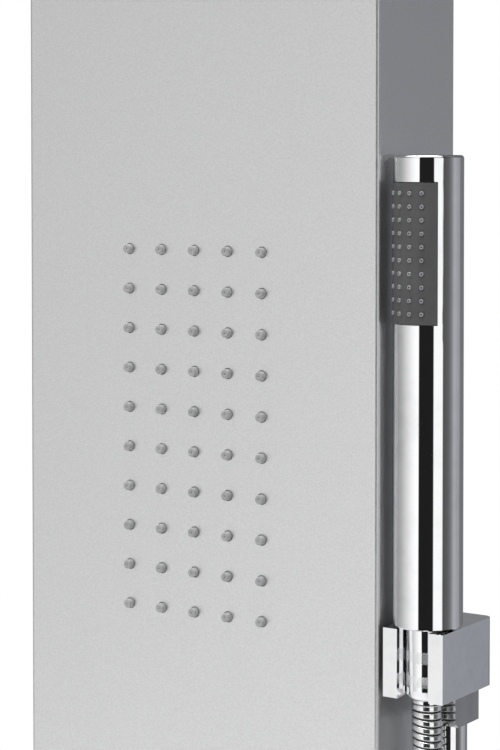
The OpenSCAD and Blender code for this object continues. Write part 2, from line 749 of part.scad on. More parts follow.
module mixer_cartridge() {
  nose_y = mixer_chamber_y - mixer_nose_l;
  shoulder_y = mixer_chamber_y - mixer_shoulder_l;
  color("whitesmoke") difference() {
    union() {
      y_cylinder(0, mixer_z, mixer_cartridge_d / 2, mixer_chamber_y, shoulder_y);
      y_cylinder(0, mixer_z, mixer_nose_r, mixer_chamber_y, nose_y);
    }
    y_cylinder(0, mixer_z, spindle_r + push_fit, mixer_chamber_y - 12, nose_y - cut);
  }
}

module mixer_cartridge_nut() {
  color("silver")
    y_ring(0, mixer_z, mixer_bore_r - push_fit, mixer_nose_r + push_fit,
           mixer_chamber_y - mixer_shoulder_l, inner_front_y - neck_out - sheet_t + 1);
}

module mixer_mount_ring() {
  color("silver")
    y_ring(0, mixer_z, mixer_neck_r + 5, mixer_neck_r + push_fit, front_y, front_y - mount_ring_t);
}

// Disc with a recess behind it for a mounting ring and a hole for a valve neck
module escutcheon(z, r, ring_r, neck_r) {
  edge = 1.2;
  difference() {
    translate([0, front_y, z]) rotate([90, 0, 0]) union() {
      cylinder(r = r, h = escutcheon_t - edge);
      translate([0, 0, escutcheon_t - edge]) cylinder(r1 = r, r2 = r - edge, h = edge);
    }
    y_cylinder(0, z, ring_r, front_y + cut, front_y - mount_ring_t - 0.4);
    y_cylinder(0, z, neck_r, front_y, front_y - escutcheon_t - cut);
  }
}

module mixer_escutcheon() {
  color("silver") {
    escutcheon(mixer_z, mixer_escutcheon_d / 2, mixer_neck_r + 5.5, mixer_neck_r + push_fit);
    y_ring(0, mixer_z, sleeve_r + 1.4, mixer_neck_r + push_fit, front_y - escutcheon_t + 0.4, front_y - 9);
    y_ring(0, mixer_z, sleeve_r, sleeve_r - 2, front_y - 8.6, sleeve_end_y);
  }
}

module mixer_spindle() {
  color("silver") difference() {
    y_cylinder(0, mixer_z, spindle_r, mixer_chamber_y - 13, pivot_y - 5.5);
    translate([-tongue_w / 2 - run_fit, pivot_y - 6.5, mixer_z - spindle_r - cut])
      cube([tongue_w + 2 * run_fit, 6.5 + tongue_r + 2, 2 * (spindle_r + cut)]);
    x_cylinder(pivot_y, mixer_z, pivot_pin_r + 0.05, -spindle_r - cut, spindle_r + cut);
  }
}

module mixer_pivot_pin() {
  color("silver") x_cylinder(pivot_y, mixer_z, pivot_pin_r, 0.4 - spindle_r, spindle_r - 0.4);
}

// Places its children at the lever's pivot, with +Z pointing along the closed lever
module along_lever() {
  translate([0, pivot_y, mixer_z]) rotate([90 + lever_droop, 0, 0]) children();
}

module mixer_lever_cap() {
  inner_r = lever_dome_r - lever_dome_wall;
  rim = 90 - dome_cover;
  color("silver") difference() {
    union() {
      translate([0, pivot_y, mixer_z]) rotate([90, 0, 0]) rotate_extrude() difference() {
        intersection() {
          circle(lever_dome_r);
          translate([0, lever_dome_r * sin(rim)]) square(2 * lever_dome_r);
        }
        circle(inner_r);
      }
      translate([-tongue_w / 2, pivot_y - inner_r - 1, mixer_z - tongue_r])
        cube([tongue_w, inner_r + 1, 2 * tongue_r]);
      x_cylinder(pivot_y, mixer_z, tongue_r, -tongue_w / 2, tongue_w / 2);
    }
    x_cylinder(pivot_y, mixer_z, pivot_pin_r + run_fit, -tongue_w, tongue_w);
    along_lever() translate([0, 0, inner_r - 3]) cylinder(d = lever_rod_d + 2 * push_fit, h = 10);
  }
}

module mixer_lever_rod() {
  tip_r = lever_rod_d / 2 + 1;
  color("silver") along_lever() {
    translate([0, 0, lever_dome_r - lever_dome_wall + 0.5])
      cylinder(d = lever_rod_d, h = lever_l - lever_dome_r + lever_dome_wall - 6);
    translate([0, 0, lever_l - 26]) cylinder(r1 = lever_rod_d / 2, r2 = tip_r, h = 6);
    translate([0, 0, lever_l - 20]) cylinder(r = tip_r, h = 18.5);
    translate([0, 0, lever_l - 1.5]) cylinder(r1 = tip_r, r2 = tip_r - 1.2, h = 1.5);
  }
}

// ---- Diverter ----

module diverter_body() {
  ports = [-90, 0, 90, 180];
  color("goldenrod") difference() {
    valve_solid(diverter_z, diverter_body_d / 2, diverter_neck_r, diverter_stub, ports);
    valve_bores(diverter_z, diverter_bore_r, diverter_chamber_y, diverter_stub, ports);
  }
}

module diverter_cartridge() {
  color("whitesmoke") difference() {
    y_cylinder(0, diverter_z, diverter_cartridge_d / 2,
               diverter_chamber_y, diverter_chamber_y - diverter_cartridge_l);
    y_cylinder(0, diverter_z, diverter_spindle_r + push_fit,
               diverter_chamber_y - 8, diverter_chamber_y - diverter_cartridge_l - cut);
  }
}

module diverter_cartridge_nut() {
  color("silver")
    y_ring(0, diverter_z, diverter_bore_r - push_fit, diverter_spindle_r + 1,
           diverter_chamber_y - diverter_cartridge_l, inner_front_y - neck_out - sheet_t + 1);
}

module diverter_mount_ring() {
  color("silver")
    y_ring(0, diverter_z, diverter_neck_r + 5, diverter_neck_r + push_fit, front_y, front_y - mount_ring_t);
}

module diverter_escutcheon() {
  color("silver")
    escutcheon(diverter_z, diverter_escutcheon_d / 2, diverter_neck_r + 5.5, diverter_neck_r + push_fit);
}

module diverter_spindle() {
  color("silver")
    y_cylinder(0, diverter_z, diverter_spindle_r, diverter_chamber_y - 9, knob_front_y + 6);
}

module diverter_knob() {
  knob_r = diverter_knob_d / 2;
  edge = 1;
  color("silver") difference() {
    translate([0, knob_back_y, diverter_z]) rotate([90, 0, 0]) union() {
      cylinder(r = knob_r, h = diverter_knob_l - edge);
      translate([0, 0, diverter_knob_l - edge]) cylinder(r1 = knob_r, r2 = knob_r - edge, h = edge);
    }
    y_cylinder(0, diverter_z, diverter_spindle_r + push_fit, knob_back_y + cut, knob_front_y + 5.5);
    y_ring(0, diverter_z, knob_r - 3, diverter_spindle_r + 6, knob_back_y + cut, knob_back_y - 8);
    z_cylinder(0, knob_back_y - 13, grub_r + push_fit, diverter_z - knob_r - cut, diverter_z);
    translate([-0.6, knob_front_y - cut, diverter_z + knob_r - 11]) cube([1.2, cut + 0.8, 12]);
  }
}

module diverter_knob_screw() {
  color("dimgray")
    z_cylinder(0, knob_back_y - 13, grub_r, diverter_z - diverter_spindle_r - 8,
               diverter_z - diverter_spindle_r);
}

// ---- Handset bracket and outlet ----

// Places its children at the two screws between the column and the bracket
module at_bracket_screws() {
  for (z = [bracket_z + bracket_screw_inset, bracket_top_z - bracket_screw_inset])
    translate([0, bracket_screw_y, z]) children();
}

module handset_bracket() {
  right_x = bracket_x + bracket_w;
  color("silver") difference() {
    union() {
      translate([bracket_x, bracket_front_y, bracket_z])
        cube([bracket_w, bracket_d - bracket_corner_r, bracket_h]);
      translate([bracket_x, bracket_front_y, bracket_z])
        cube([bracket_w - bracket_corner_r, bracket_d, bracket_h]);
      z_cylinder(right_x - bracket_corner_r, bracket_back_y - bracket_corner_r, bracket_corner_r,
                 bracket_z, bracket_top_z);
    }
    translate([axis_x, axis_y, bracket_z - cut])
      cylinder(r1 = seat_foot_r, r2 = seat_top_r, h = bracket_h + 2 * cut);
    translate([axis_x - slot_w / 2, bracket_front_y - cut, bracket_z - cut])
      cube([slot_w, seat_setback + cut, bracket_h + 2 * cut]);
    x_cylinder(pipe_y, nipple_z, nipple_r + push_fit, bracket_x - cut, nipple_out_x);
    x_cylinder(pipe_y, nipple_z, 5, nipple_out_x - cut, axis_x);
    z_cylinder(axis_x, pipe_y, way_bore_r, bracket_z - cut, nipple_z);
    at_bracket_screws() x_cylinder(0, 0, bracket_screw_d / 2 + push_fit, bracket_x - cut, bracket_x + 9);
  }
}

module bracket_gasket() {
  inset = 2;
  gasket_y = axis_y + 4;
  color("dimgray") difference() {
    translate([side_x, gasket_y, bracket_z + inset])
      cube([gasket_t, bracket_back_y - inset - gasket_y, bracket_h - 2 * inset]);
    x_cylinder(pipe_y, nipple_z, nipple_r + push_fit, side_x - cut, bracket_x + cut);
    at_bracket_screws() x_cylinder(0, 0, bracket_screw_d / 2 + push_fit, side_x - cut, bracket_x + cut);
  }
}

module bracket_nipple() {
  color("goldenrod") difference() {
    x_cylinder(pipe_y, nipple_z, nipple_r, nipple_in_x, nipple_out_x);
    x_cylinder(pipe_y, nipple_z, water_r, nipple_in_x - cut, nipple_out_x + cut);
  }
}

module bracket_backnut() {
  color("goldenrod") difference() {
    translate([inner_x - 7, pipe_y, nipple_z]) rotate([0, 90, 0])
      cylinder(r = nipple_r + 2.2, h = 7, $fn = 6);
    x_cylinder(pipe_y, nipple_z, nipple_r + push_fit, inner_x - 7 - cut, inner_x + cut);
  }
}

module bracket_screws() {
  color("silver") at_bracket_screws() difference() {
    union() {
      x_cylinder(0, 0, bracket_screw_d / 2, inner_x - 2, bracket_x + 8);
      x_cylinder(0, 0, 0.9 * bracket_screw_d, inner_x - 2, inner_x);
    }
    translate([inner_x - 2 - cut, 0, 0]) rotate([0, 90, 0]) cylinder(r = 1.2, h = cut + 1.2, $fn = 6);
  }
}

module outlet_block() {
  block_y = pipe_y - outlet_d / 2;
  nose = 3;
  top_nose = 1.5; // bevel that keeps the block clear of the foot of the hose nut
  spigot_l = 14;
  color("silver") difference() {
    union() {
      difference() {
        translate([axis_x - outlet_w / 2, block_y, outlet_bottom_z])
          cube([outlet_w, outlet_d, outlet_h]);
        for (edge = [[outlet_bottom_z, nose], [outlet_top_z, top_nose]])
          translate([axis_x, block_y, edge[0]]) rotate([45, 0, 0])
            cube([outlet_w + 2 * cut, edge[1] * sqrt(2), edge[1] * sqrt(2)], center = true);
      }
      z_cylinder(axis_x, pipe_y, spigot_r, outlet_bottom_z - spigot_l, outlet_bottom_z + cut);
    }
    z_cylinder(axis_x, pipe_y, way_bore_r, outlet_bottom_z - spigot_l - cut, outlet_top_z + cut);
  }
}

module outlet_hose_nut() {
  color("silver") difference() {
    z_cylinder(axis_x, pipe_y, outlet_nut_d / 2, outlet_nut_z, outlet_bottom_z - 0.2);
    z_cylinder(axis_x, pipe_y, sleeve_hose_r + run_fit, outlet_nut_z - cut, outlet_nut_z + lip_h + cut);
    z_cylinder(axis_x, pipe_y, spigot_r + push_fit, outlet_nut_z + lip_h, outlet_bottom_z + cut);
  }
}

// Ferrule under a hose nut: a flange that the nut holds, a sleeve, and a collar on the hose
module ferrule(x, y, nut_foot_z, flange_r) {
  lip_top_z = nut_foot_z + lip_h + run_fit;
  collar_z = nut_foot_z - 0.3 - ferrule_collar_l;
  difference() {
    union() {
      z_cylinder(x, y, flange_r, lip_top_z, lip_top_z + flange_t);
      z_cylinder(x, y, sleeve_hose_r, collar_z, lip_top_z + flange_t / 2);
      z_cylinder(x, y, hose_d / 2, collar_z, collar_z + ferrule_collar_l);
    }
    z_cylinder(x, y, 3.5, collar_z - cut, lip_top_z + flange_t + cut);
  }
}

module outlet_ferrule() {
  color("silver") ferrule(axis_x, pipe_y, outlet_nut_z, spigot_r - 0.1);
}

// ---- Hose ----

function unit(v) = v / norm(v);

// Direction of the route at one of its points; both ends stand upright in their ferrules
function heading(p, i) =
  i == 0 ? [0, 0, -1] : i == len(p) - 1 ? [0, 0, 1] : unit(p[i + 1] - p[i - 1]);

// Ring of points square to the route, started from the side that X points to
function hose_ring(p, i, r) =
  let (t = heading(p, i), u = unit(cross(t, [1, 0, 0])), v = cross(t, u))
  [for (k = [0 : hose_sides - 1]) let (a = 360 * k / hose_sides) p[i] + r * (cos(a) * u + sin(a) * v)];

module shower_hose() {
  rings = len(hose_route);
  ends = [[for (k = [0 : hose_sides - 1]) k],
          [for (k = [hose_sides - 1 : -1 : 0]) (rings - 1) * hose_sides + k]];
  sides = [for (i = [0 : rings - 2], k = [0 : hose_sides - 1])
             let (a = i * hose_sides + k, b = i * hose_sides + (k + 1) % hose_sides)
             [a, a + hose_sides, b + hose_sides, b]];
  color("silver")
    polyhedron(points = [for (i = [0 : rings - 1]) each hose_ring(hose_route, i, hose_d / 2)],
               faces = concat(ends, sides));
}

module hose_ferrule() {
  color("silver") ferrule(axis_x, axis_y, nut_z, thread_r - 0.1);
}

module hose_nut() {
  color("silver") about_handset() polygon([
    [sleeve_hose_r + run_fit, nut_z],
    [hose_nut_foot_d / 2 - nut_chamfer / 1.5, nut_z],
    [hose_nut_foot_d / 2, nut_z + nut_chamfer],
    [hose_nut_top_d / 2, nut_top_z - 0.6],
    [hose_nut_top_d / 2 - 0.6, nut_top_z],
    [thread_r + push_fit, nut_top_z],
    [thread_r + push_fit, nut_z + lip_h],
    [sleeve_hose_r + run_fit, nut_z + lip_h]]);
}

module hose_washer() {
  color("dimgray") translate([axis_x, axis_y, washer_z]) difference() {
    cylinder(r = thread_r, h = washer_t);
    translate([0, 0, -cut]) cylinder(r = way_bore_r, h = washer_t + 2 * cut);
  }
}

// ---- Handset ----

module handset_waterway() {
  hub_z = foot_z + foot_floor;
  color("whitesmoke") difference() {
    union() {
      about_handset() polygon([
        [way_bore_r, thread_z], [thread_r, thread_z], [thread_r, hub_z],
        [handset_inner_r - push_fit, hub_z], [handset_inner_r - push_fit, hub_z + 10],
        [way_r, hub_z + 14], [way_r, chamber_z], [way_bore_r, chamber_z]]);
      about_handset() polygon([
        [way_bore_r, chamber_z], [chamber_r, chamber_z], [chamber_r, chamber_top_z],
        [0, chamber_top_z], [0, chamber_top_z - 2], [chamber_r - 2, chamber_top_z - 2],
        [chamber_r - 2, chamber_z + 2], [way_bore_r, chamber_z + 2]]);
    }
    spray_sector(chamber_r - 3, chamber_r + cut, spray_z + 4, spray_top_z - 4, spray_angle - 30);
  }
}

module handset_body() {
  color("silver") difference() {
    about_handset() polygon([
      [thread_r + push_fit, foot_z], [foot_r - 0.5, foot_z], [foot_r, foot_z + 0.5],
      [head_r, cap_z], [handset_inner_r, cap_z], [handset_inner_r, foot_z + foot_floor],
      [thread_r + push_fit, foot_z + foot_floor]]);
    spray_sector(handset_inner_r - cut, spray_r + cut, spray_z, spray_top_z, spray_angle);
  }
}

module handset_cap() {
  plug_r = handset_inner_r - push_fit;
  color("silver") {
    about_handset() {
      translate([0, cap_z]) square([head_r, handset_cap_h - handset_cap_r]);
      translate([0, cap_z]) square([head_r - handset_cap_r, handset_cap_h]);
      intersection() {
        translate([head_r - handset_cap_r, handset_top_z - handset_cap_r]) circle(handset_cap_r);
        translate([head_r - handset_cap_r, cap_z]) square([handset_cap_r, handset_cap_h]);
      }
    }
    about_handset() translate([plug_r - 2, chamber_top_z + 0.5])
      square([2, cap_z - chamber_top_z - 0.4]);
  }
}

module handset_spray_plate() {
  gap = 0.3;
  color("dimgray") difference() {
    spray_sector(plate_in_r, spray_r, spray_z + gap, spray_top_z - gap, spray_angle - 2 * gap);
    at_spray_nubs() rotate([0, 90, 0])
      cylinder(d = spray_nub_d + 2 * push_fit, h = spray_r + cut, $fn = small_fn);
  }
}

module handset_nozzle_mat() {
  color("gainsboro") difference() {
    union() {
      spray_sector(mat_in_r, plate_in_r - 0.1, spray_z + 1, spray_top_z - 1, spray_angle - 6);
      at_spray_nubs() translate([mat_in_r + 1, 0, 0]) rotate([0, 90, 0])
        cylinder(d = spray_nub_d, h = spray_r + spray_nub_h - mat_in_r - 1, $fn = small_fn);
    }
    at_spray_nubs() rotate([0, 90, 0])
      cylinder(d = 0.8 * nub_bore_d, h = spray_r + spray_nub_h + cut, $fn = 16);
  }
}

// ---- Rain arm and head ----

module arm_elbow() {
  color("goldenrod") difference() {
    union() {
      z_cylinder(0, pipe_y, stub_r, elbow_foot_z, arm_z + 10);
      y_cylinder(0, arm_z, arm_r + 3, inner_front_y, pipe_y - 4);
      y_cylinder(0, arm_z, stub_r, inner_front_y, pipe_y);
    }
    z_cylinder(0, pipe_y, socket_r, elbow_foot_z - cut, elbow_foot_z + socket_depth);
    z_cylinder(0, pipe_y, way_bore_r, elbow_foot_z, arm_z);
    y_cylinder(0, arm_z, way_bore_r, pipe_y, inner_front_y);
    y_cylinder(0, arm_z, arm_thread_r + push_fit, inner_front_y - cut, inner_front_y + 18);
  }
}

module rain_arm() {
  bend_y = arm_y + arm_bend_r;
  bore_r = arm_r - arm_wall;
  color("silver") {
    difference() {
      union() {
        y_cylinder(0, arm_z, arm_thread_r, inner_front_y + 16, front_y - cut);
        y_cylinder(0, arm_z, arm_r, front_y, bend_y);
      }
      y_cylinder(0, arm_z, bore_r, inner_front_y + 16 + cut, bend_y - cut);
    }
    translate([0, bend_y, arm_z - arm_bend_r]) rotate([90, 0, -90]) rotate_extrude(angle = 90)
      translate([arm_bend_r, 0]) difference() {
        circle(arm_r);
        circle(bore_r);
      }
    difference() {
      z_cylinder(0, arm_y, arm_r, arm_end_z, arm_z - arm_bend_r);
      z_cylinder(0, arm_y, bore_r, arm_end_z - cut, arm_z - arm_bend_r + cut);
    }
  }
}

module arm_flange() {
  color("silver") difference() {
    translate([0, front_y, arm_z]) rotate([90, 0, 0]) union() {
      cylinder(r = arm_flange_d / 2, h = 3);
      translate([0, 0, 3]) cylinder(r1 = arm_flange_d / 2, r2 = arm_r + 4, h = 5);
    }
    y_cylinder(0, arm_z, arm_r + push_fit, front_y + cut, front_y - 8 - cut);
  }
}

module ball_stud() {
  bore_r = arm_r - arm_wall;
  color("silver") difference() {
    union() {
      z_cylinder(0, arm_y, bore_r - push_fit, arm_end_z, arm_end_z + 12);
      z_cylinder(0, arm_y, arm_r, arm_end_z - 5, arm_end_z);
      z_cylinder(0, arm_y, 0.55 * ball_r, ball_z, arm_end_z - 4);
      translate([0, arm_y, ball_z]) sphere(ball_r);
    }
    z_cylinder(0, arm_y, 3, ball_z - ball_r - cut, arm_end_z + 12 + cut);
  }
}

module ball_seal() {
  color("dimgray") difference() {
    intersection() {
      translate([0, arm_y, ball_z]) sphere(ball_r + run_fit + ball_seal_t);
      z_cylinder(0, arm_y, 2 * ball_r, ball_z - ball_seal_foot, ball_z - ball_seal_top);
    }
    translate([0, arm_y, ball_z]) sphere(ball_r + run_fit);
  }
}

module ball_nut() {
  opening_flare = 2.5;
  color("silver") difference() {
    union() {
      z_cylinder(0, arm_y, ball_nut_d / 2, ball_z - nut_down, ball_z + nut_up - 3);
      translate([0, arm_y, ball_z + nut_up - 3])
        cylinder(r1 = ball_nut_d / 2, r2 = ball_nut_d / 2 - 3, h = 3);
    }
    translate([0, arm_y, ball_z]) sphere(ball_r + run_fit);
    z_cylinder(0, arm_y, ball_opening_r, ball_z, ball_z + nut_up - opening_flare);
    translate([0, arm_y, ball_z + nut_up - opening_flare])
      cylinder(r1 = ball_opening_r, r2 = ball_opening_r + opening_flare, h = opening_flare + cut);
    z_cylinder(0, arm_y, rain_spigot_r + push_fit, ball_z - nut_down - cut, ball_z - 0.3 * ball_r);
  }
}

module rain_shell() {
  spigot_top_z = ball_z - ball_r - 1.5;
  bell_r = ball_nut_d / 2;
  color("silver") translate([0, arm_y, 0]) rotate_extrude() polygon([
    [6, spigot_top_z], [rain_spigot_r, spigot_top_z],
    [rain_spigot_r, ball_z - nut_down - 0.3], [bell_r, ball_z - nut_down - 0.3],
    [bell_r + 1, rain_top_z + 2], [bell_r + 3, rain_top_z],
    [rain_d / 2 - 2, rain_top_z], [rain_d / 2, rain_top_z - 2], [rain_d / 2, rain_bottom_z],
    [rain_d / 2 - rain_t, rain_bottom_z], [rain_d / 2 - rain_t, rain_top_z - rain_t - 1],
    [rain_d / 2 - rain_t - 1, rain_top_z - rain_t], [6, rain_top_z - rain_t]]);
}

module rain_faceplate() {
  plate_r = rain_d / 2 - rain_t - push_fit;
  color("silver") translate([0, arm_y, rain_bottom_z]) difference() {
    cylinder(r = plate_r, h = rain_t);
    at_rain_nozzles() translate([0, 0, -cut])
      cylinder(d = rain_hole_d, h = rain_t + 2 * cut, $fn = small_fn);
  }
}

module rain_nozzle_mat() {
  mat_t = 1.5;
  mat_r = rain_rings * rain_pitch + 9;
  color("gainsboro") translate([0, arm_y, rain_plate_z]) difference() {
    union() {
      cylinder(r = mat_r, h = mat_t);
      at_rain_nozzles() translate([0, 0, -rain_t - rain_nub_h])
        cylinder(d1 = rain_nub_d - 0.6, d2 = rain_nub_d, h = rain_t + rain_nub_h + mat_t / 2,
                 $fn = small_fn);
    }
    at_rain_nozzles() translate([0, 0, -rain_t - rain_nub_h - cut])
      cylinder(d = nub_bore_d, h = rain_t + rain_nub_h + mat_t + 2 * cut, $fn = 16);
  }
}

column_shell();
top_cap();
bottom_cap();
wall_bracket_upper();
wall_bracket_lower();
hanger_bars();
jet_nozzle_mat();
jet_box();
jet_box_studs();
jet_box_nuts();
jets_pipe();
riser_pipe();
link_pipe();
outlet_pipe();
supply_pipe_hot();
supply_pipe_cold();
supply_nuts();
mixer_body();
mixer_cartridge();
mixer_cartridge_nut();
mixer_mount_ring();
mixer_escutcheon();
mixer_spindle();
mixer_pivot_pin();
mixer_lever_cap();
mixer_lever_rod();
diverter_body();
diverter_cartridge();
diverter_cartridge_nut();
diverter_mount_ring();
diverter_escutcheon();
diverter_spindle();
diverter_knob();
diverter_knob_screw();
handset_bracket();
bracket_gasket();
bracket_nipple();
bracket_backnut();
bracket_screws();
outlet_block();
outlet_hose_nut();
outlet_ferrule();
shower_hose();
hose_ferrule();
hose_nut();
hose_washer();
handset_waterway();
handset_body();
handset_cap();
handset_spray_plate();
handset_nozzle_mat();
arm_elbow();
rain_arm();
arm_flange();
ball_stud();
ball_seal();
ball_nut();
rain_shell();
rain_faceplate();
rain_nozzle_mat();
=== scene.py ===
import json
import math

import bmesh
import bpy
import numpy as np
from mathutils import Matrix, Vector

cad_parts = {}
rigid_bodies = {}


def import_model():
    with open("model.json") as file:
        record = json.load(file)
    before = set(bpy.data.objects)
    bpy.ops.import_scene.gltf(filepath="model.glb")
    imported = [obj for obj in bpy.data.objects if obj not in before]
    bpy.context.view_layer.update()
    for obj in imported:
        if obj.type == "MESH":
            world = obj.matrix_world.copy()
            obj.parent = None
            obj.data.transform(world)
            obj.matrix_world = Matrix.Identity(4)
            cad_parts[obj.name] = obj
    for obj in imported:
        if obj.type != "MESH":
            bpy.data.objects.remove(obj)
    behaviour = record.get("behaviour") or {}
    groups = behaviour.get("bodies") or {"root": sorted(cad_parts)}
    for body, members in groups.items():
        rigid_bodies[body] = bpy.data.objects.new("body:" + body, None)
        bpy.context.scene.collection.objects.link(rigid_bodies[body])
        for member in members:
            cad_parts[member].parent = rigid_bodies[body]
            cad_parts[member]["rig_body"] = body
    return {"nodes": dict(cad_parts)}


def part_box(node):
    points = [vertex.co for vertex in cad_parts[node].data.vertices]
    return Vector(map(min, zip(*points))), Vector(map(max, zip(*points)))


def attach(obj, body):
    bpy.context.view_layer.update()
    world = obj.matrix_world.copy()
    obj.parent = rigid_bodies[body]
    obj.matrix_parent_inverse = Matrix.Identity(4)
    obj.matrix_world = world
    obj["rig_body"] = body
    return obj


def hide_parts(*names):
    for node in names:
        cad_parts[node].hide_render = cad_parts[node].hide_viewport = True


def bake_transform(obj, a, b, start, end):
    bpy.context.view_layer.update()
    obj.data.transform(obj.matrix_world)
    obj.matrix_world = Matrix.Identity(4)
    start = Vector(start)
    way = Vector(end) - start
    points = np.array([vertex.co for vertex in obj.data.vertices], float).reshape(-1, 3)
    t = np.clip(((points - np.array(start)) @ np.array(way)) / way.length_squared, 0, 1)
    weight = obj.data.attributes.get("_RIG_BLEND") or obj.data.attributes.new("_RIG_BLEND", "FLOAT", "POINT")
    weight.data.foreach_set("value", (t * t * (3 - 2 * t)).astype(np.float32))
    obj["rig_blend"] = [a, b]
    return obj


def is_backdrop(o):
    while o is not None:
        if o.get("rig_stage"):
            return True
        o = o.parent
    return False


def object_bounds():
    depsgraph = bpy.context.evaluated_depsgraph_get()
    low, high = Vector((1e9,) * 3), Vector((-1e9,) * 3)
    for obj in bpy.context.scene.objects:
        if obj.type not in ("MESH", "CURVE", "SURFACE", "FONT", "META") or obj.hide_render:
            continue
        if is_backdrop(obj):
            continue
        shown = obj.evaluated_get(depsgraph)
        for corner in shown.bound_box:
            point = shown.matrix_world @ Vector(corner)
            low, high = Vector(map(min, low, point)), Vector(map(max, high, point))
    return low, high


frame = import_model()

MM = 0.001
NODES = frame["nodes"]
CAMERA_YAW = math.radians(33.88)
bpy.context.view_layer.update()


# ---- Camera ----

def place_camera():
    """Close view of the jets and the handset, from the handset's side and a little above them."""
    lens = bpy.data.cameras.new("close_view")
    lens.sensor_width = 36
    lens.lens = 101.42
    lens.shift_y = -0.1868
    lens.clip_start, lens.clip_end = 0.05, 30
    camera = bpy.data.objects.new("close_view", lens)
    camera.location = (0.5744, -0.8776, 0.2774)
    camera.rotation_euler = (math.radians(88), 0, CAMERA_YAW)
    bpy.context.scene.collection.objects.link(camera)
    bpy.context.scene.camera = camera


# ---- Mesh helpers ----

def mesh_piece(name, verts, faces, material, sharp_angle=40):
    """A finished piece from points and faces in metres, with its seams closed and faces pointing out."""
    mesh = bpy.data.meshes.new(name)
    mesh.from_pydata([tuple(v) for v in verts], [], faces)
    work = bmesh.new()
    work.from_mesh(mesh)
    bmesh.ops.remove_doubles(work, verts=work.verts, dist=1e-6)
    bmesh.ops.recalc_face_normals(work, faces=work.faces)
    work.to_mesh(mesh)
    work.free()
    mesh.polygons.foreach_set("use_smooth", [True] * len(mesh.polygons))
    mesh.set_sharp_from_angle(angle=math.radians(sharp_angle))
    mesh.materials.append(material)
    piece = bpy.data.objects.new(name, mesh)
    bpy.context.scene.collection.objects.link(piece)
    return piece


def grid_faces(rows, columns):
    """Quads between rings of points that each close on themselves."""
    return [
        (r * columns + c, r * columns + (c + 1) % columns,
         (r + 1) * columns + (c + 1) % columns, (r + 1) * columns + c)
        for r in range(rows - 1) for c in range(columns)
    ]


def turned(profile, sides, axis_at=(0, 0, 0)):
    """Points of an outline of (radius, height) turned about Z."""
    turn = [(math.cos(2 * math.pi * k / sides), math.sin(2 * math.pi * k / sides)) for k in range(sides)]
    return [(axis_at[0] + r * c, axis_at[1] + r * s, axis_at[2] + z) for r, z in profile for c, s in turn]


def rounded(corner_r, centre, start, end, steps=4):
    """Points on an arc of an outline, from one angle to another in degrees."""
    return [(centre[0] + corner_r * math.cos(math.radians(start + (end - start) * i / steps)),
             centre[1] + corner_r * math.sin(math.radians(start + (end - start) * i / steps)))
            for i in range(steps + 1)]


# ---- Shader node groups ----

def new_group(name, inputs, outputs):
    """An empty shader group with its named sockets; inputs are (name, kind, value)."""
    group = bpy.data.node_groups.new(name, "ShaderNodeTree")
    for label, kind, value in inputs:
        socket = group.interface.new_socket(label, in_out="INPUT", socket_type="NodeSocket" + kind)
        if value is not None:
            socket.default_value = value
    for label, kind in outputs:
        group.interface.new_socket(label, in_out="OUTPUT", socket_type="NodeSocket" + kind)
    return group, group.nodes.new("NodeGroupInput"), group.nodes.new("NodeGroupOutput")


def noise(tree, vector, scale, detail=2.0, roughness=0.5):
    """Output of a Noise Texture node whose scale is a number or a socket."""
    node = tree.nodes.new("ShaderNodeTexNoise")
    node.inputs["Detail"].default_value = detail
    node.inputs["Roughness"].default_value = roughness
    tree.links.new(vector, node.inputs["Vector"])
    if isinstance(scale, (int, float)):
        node.inputs["Scale"].default_value = scale
    else:
        tree.links.new(scale, node.inputs["Scale"])
    return node.outputs["Fac"]


def calculated(tree, operation, first, second=None):
    """Output of a Math node whose inputs are numbers or sockets."""
    node = tree.nodes.new("ShaderNodeMath")
    node.operation = operation
    for socket, value in zip(node.inputs, (first, second)):
        if isinstance(value, (int, float)):
            socket.default_value = value
        elif value is not None:
            tree.links.new(value, socket)
    return node.outputs[0]


def remap(tree, value, low, high, new_low, new_high):
    """Output of a Map Range node whose limits are numbers or sockets."""
    node = tree.nodes.new("ShaderNodeMapRange")
    tree.links.new(value, node.inputs["Value"])
    for label, amount in (("From Min", low), ("From Max", high), ("To Min", new_low), ("To Max", new_high)):
        if isinstance(amount, (int, float)):
            node.inputs[label].default_value = amount
        else:
            tree.links.new(amount, node.inputs[label])
    return node.outputs["Result"]


def tone_between(tree, share, dark, light):
    """The colour that lies a share of the way from one tone to another."""
    node = tree.nodes.new("ShaderNodeMix")
    node.data_type = "RGBA"
    for socket, value in ((node.inputs[0], share), (node.inputs[6], dark), (node.inputs[7], light)):
        if isinstance(value, tuple):
            socket.default_value = value
        else:
            tree.links.new(value, socket)
    return node.outputs[2]


def make_blasted_grain():
    """Fine matt grain of a bead-blasted and polished sheet: its tone, its gloss and its relief."""
    group, given, out = new_group(
        "blasted_grain",
        [("Vector", "Vector", None), ("Grain Scale", "Float", 2400.0), ("Dark", "Color", (0.6, 0.6, 0.6, 1)),
         ("Light", "Color", (0.7, 0.7, 0.7, 1)), ("Roughness Low", "Float", 0.35),
         ("Roughness High", "Float", 0.45)],
        [("Color", "Color"), ("Roughness", "Float"), ("Height", "Float")],
    )
    grain = noise(group, given.outputs["Vector"], given.outputs["Grain Scale"], 3.0, 0.6)
    drift = noise(group, given.outputs["Vector"], 9.0, 2.0)
    share = remap(group, grain, 0.3, 0.7, 0.0, 1.0)
    tone = tone_between(group, share, given.outputs["Dark"], given.outputs["Light"])
    from_grain = calculated(group, "MULTIPLY", share, 0.6)
    mixed = calculated(group, "ADD", from_grain, calculated(group, "MULTIPLY", drift, 0.4))
    gloss = remap(group, mixed, 0.0, 1.0, given.outputs["Roughness Low"], given.outputs["Roughness High"])
    group.links.new(tone, out.inputs["Color"])
    group.links.new(gloss, out.inputs["Roughness"])
    group.links.new(grain, out.inputs["Height"])
    return group


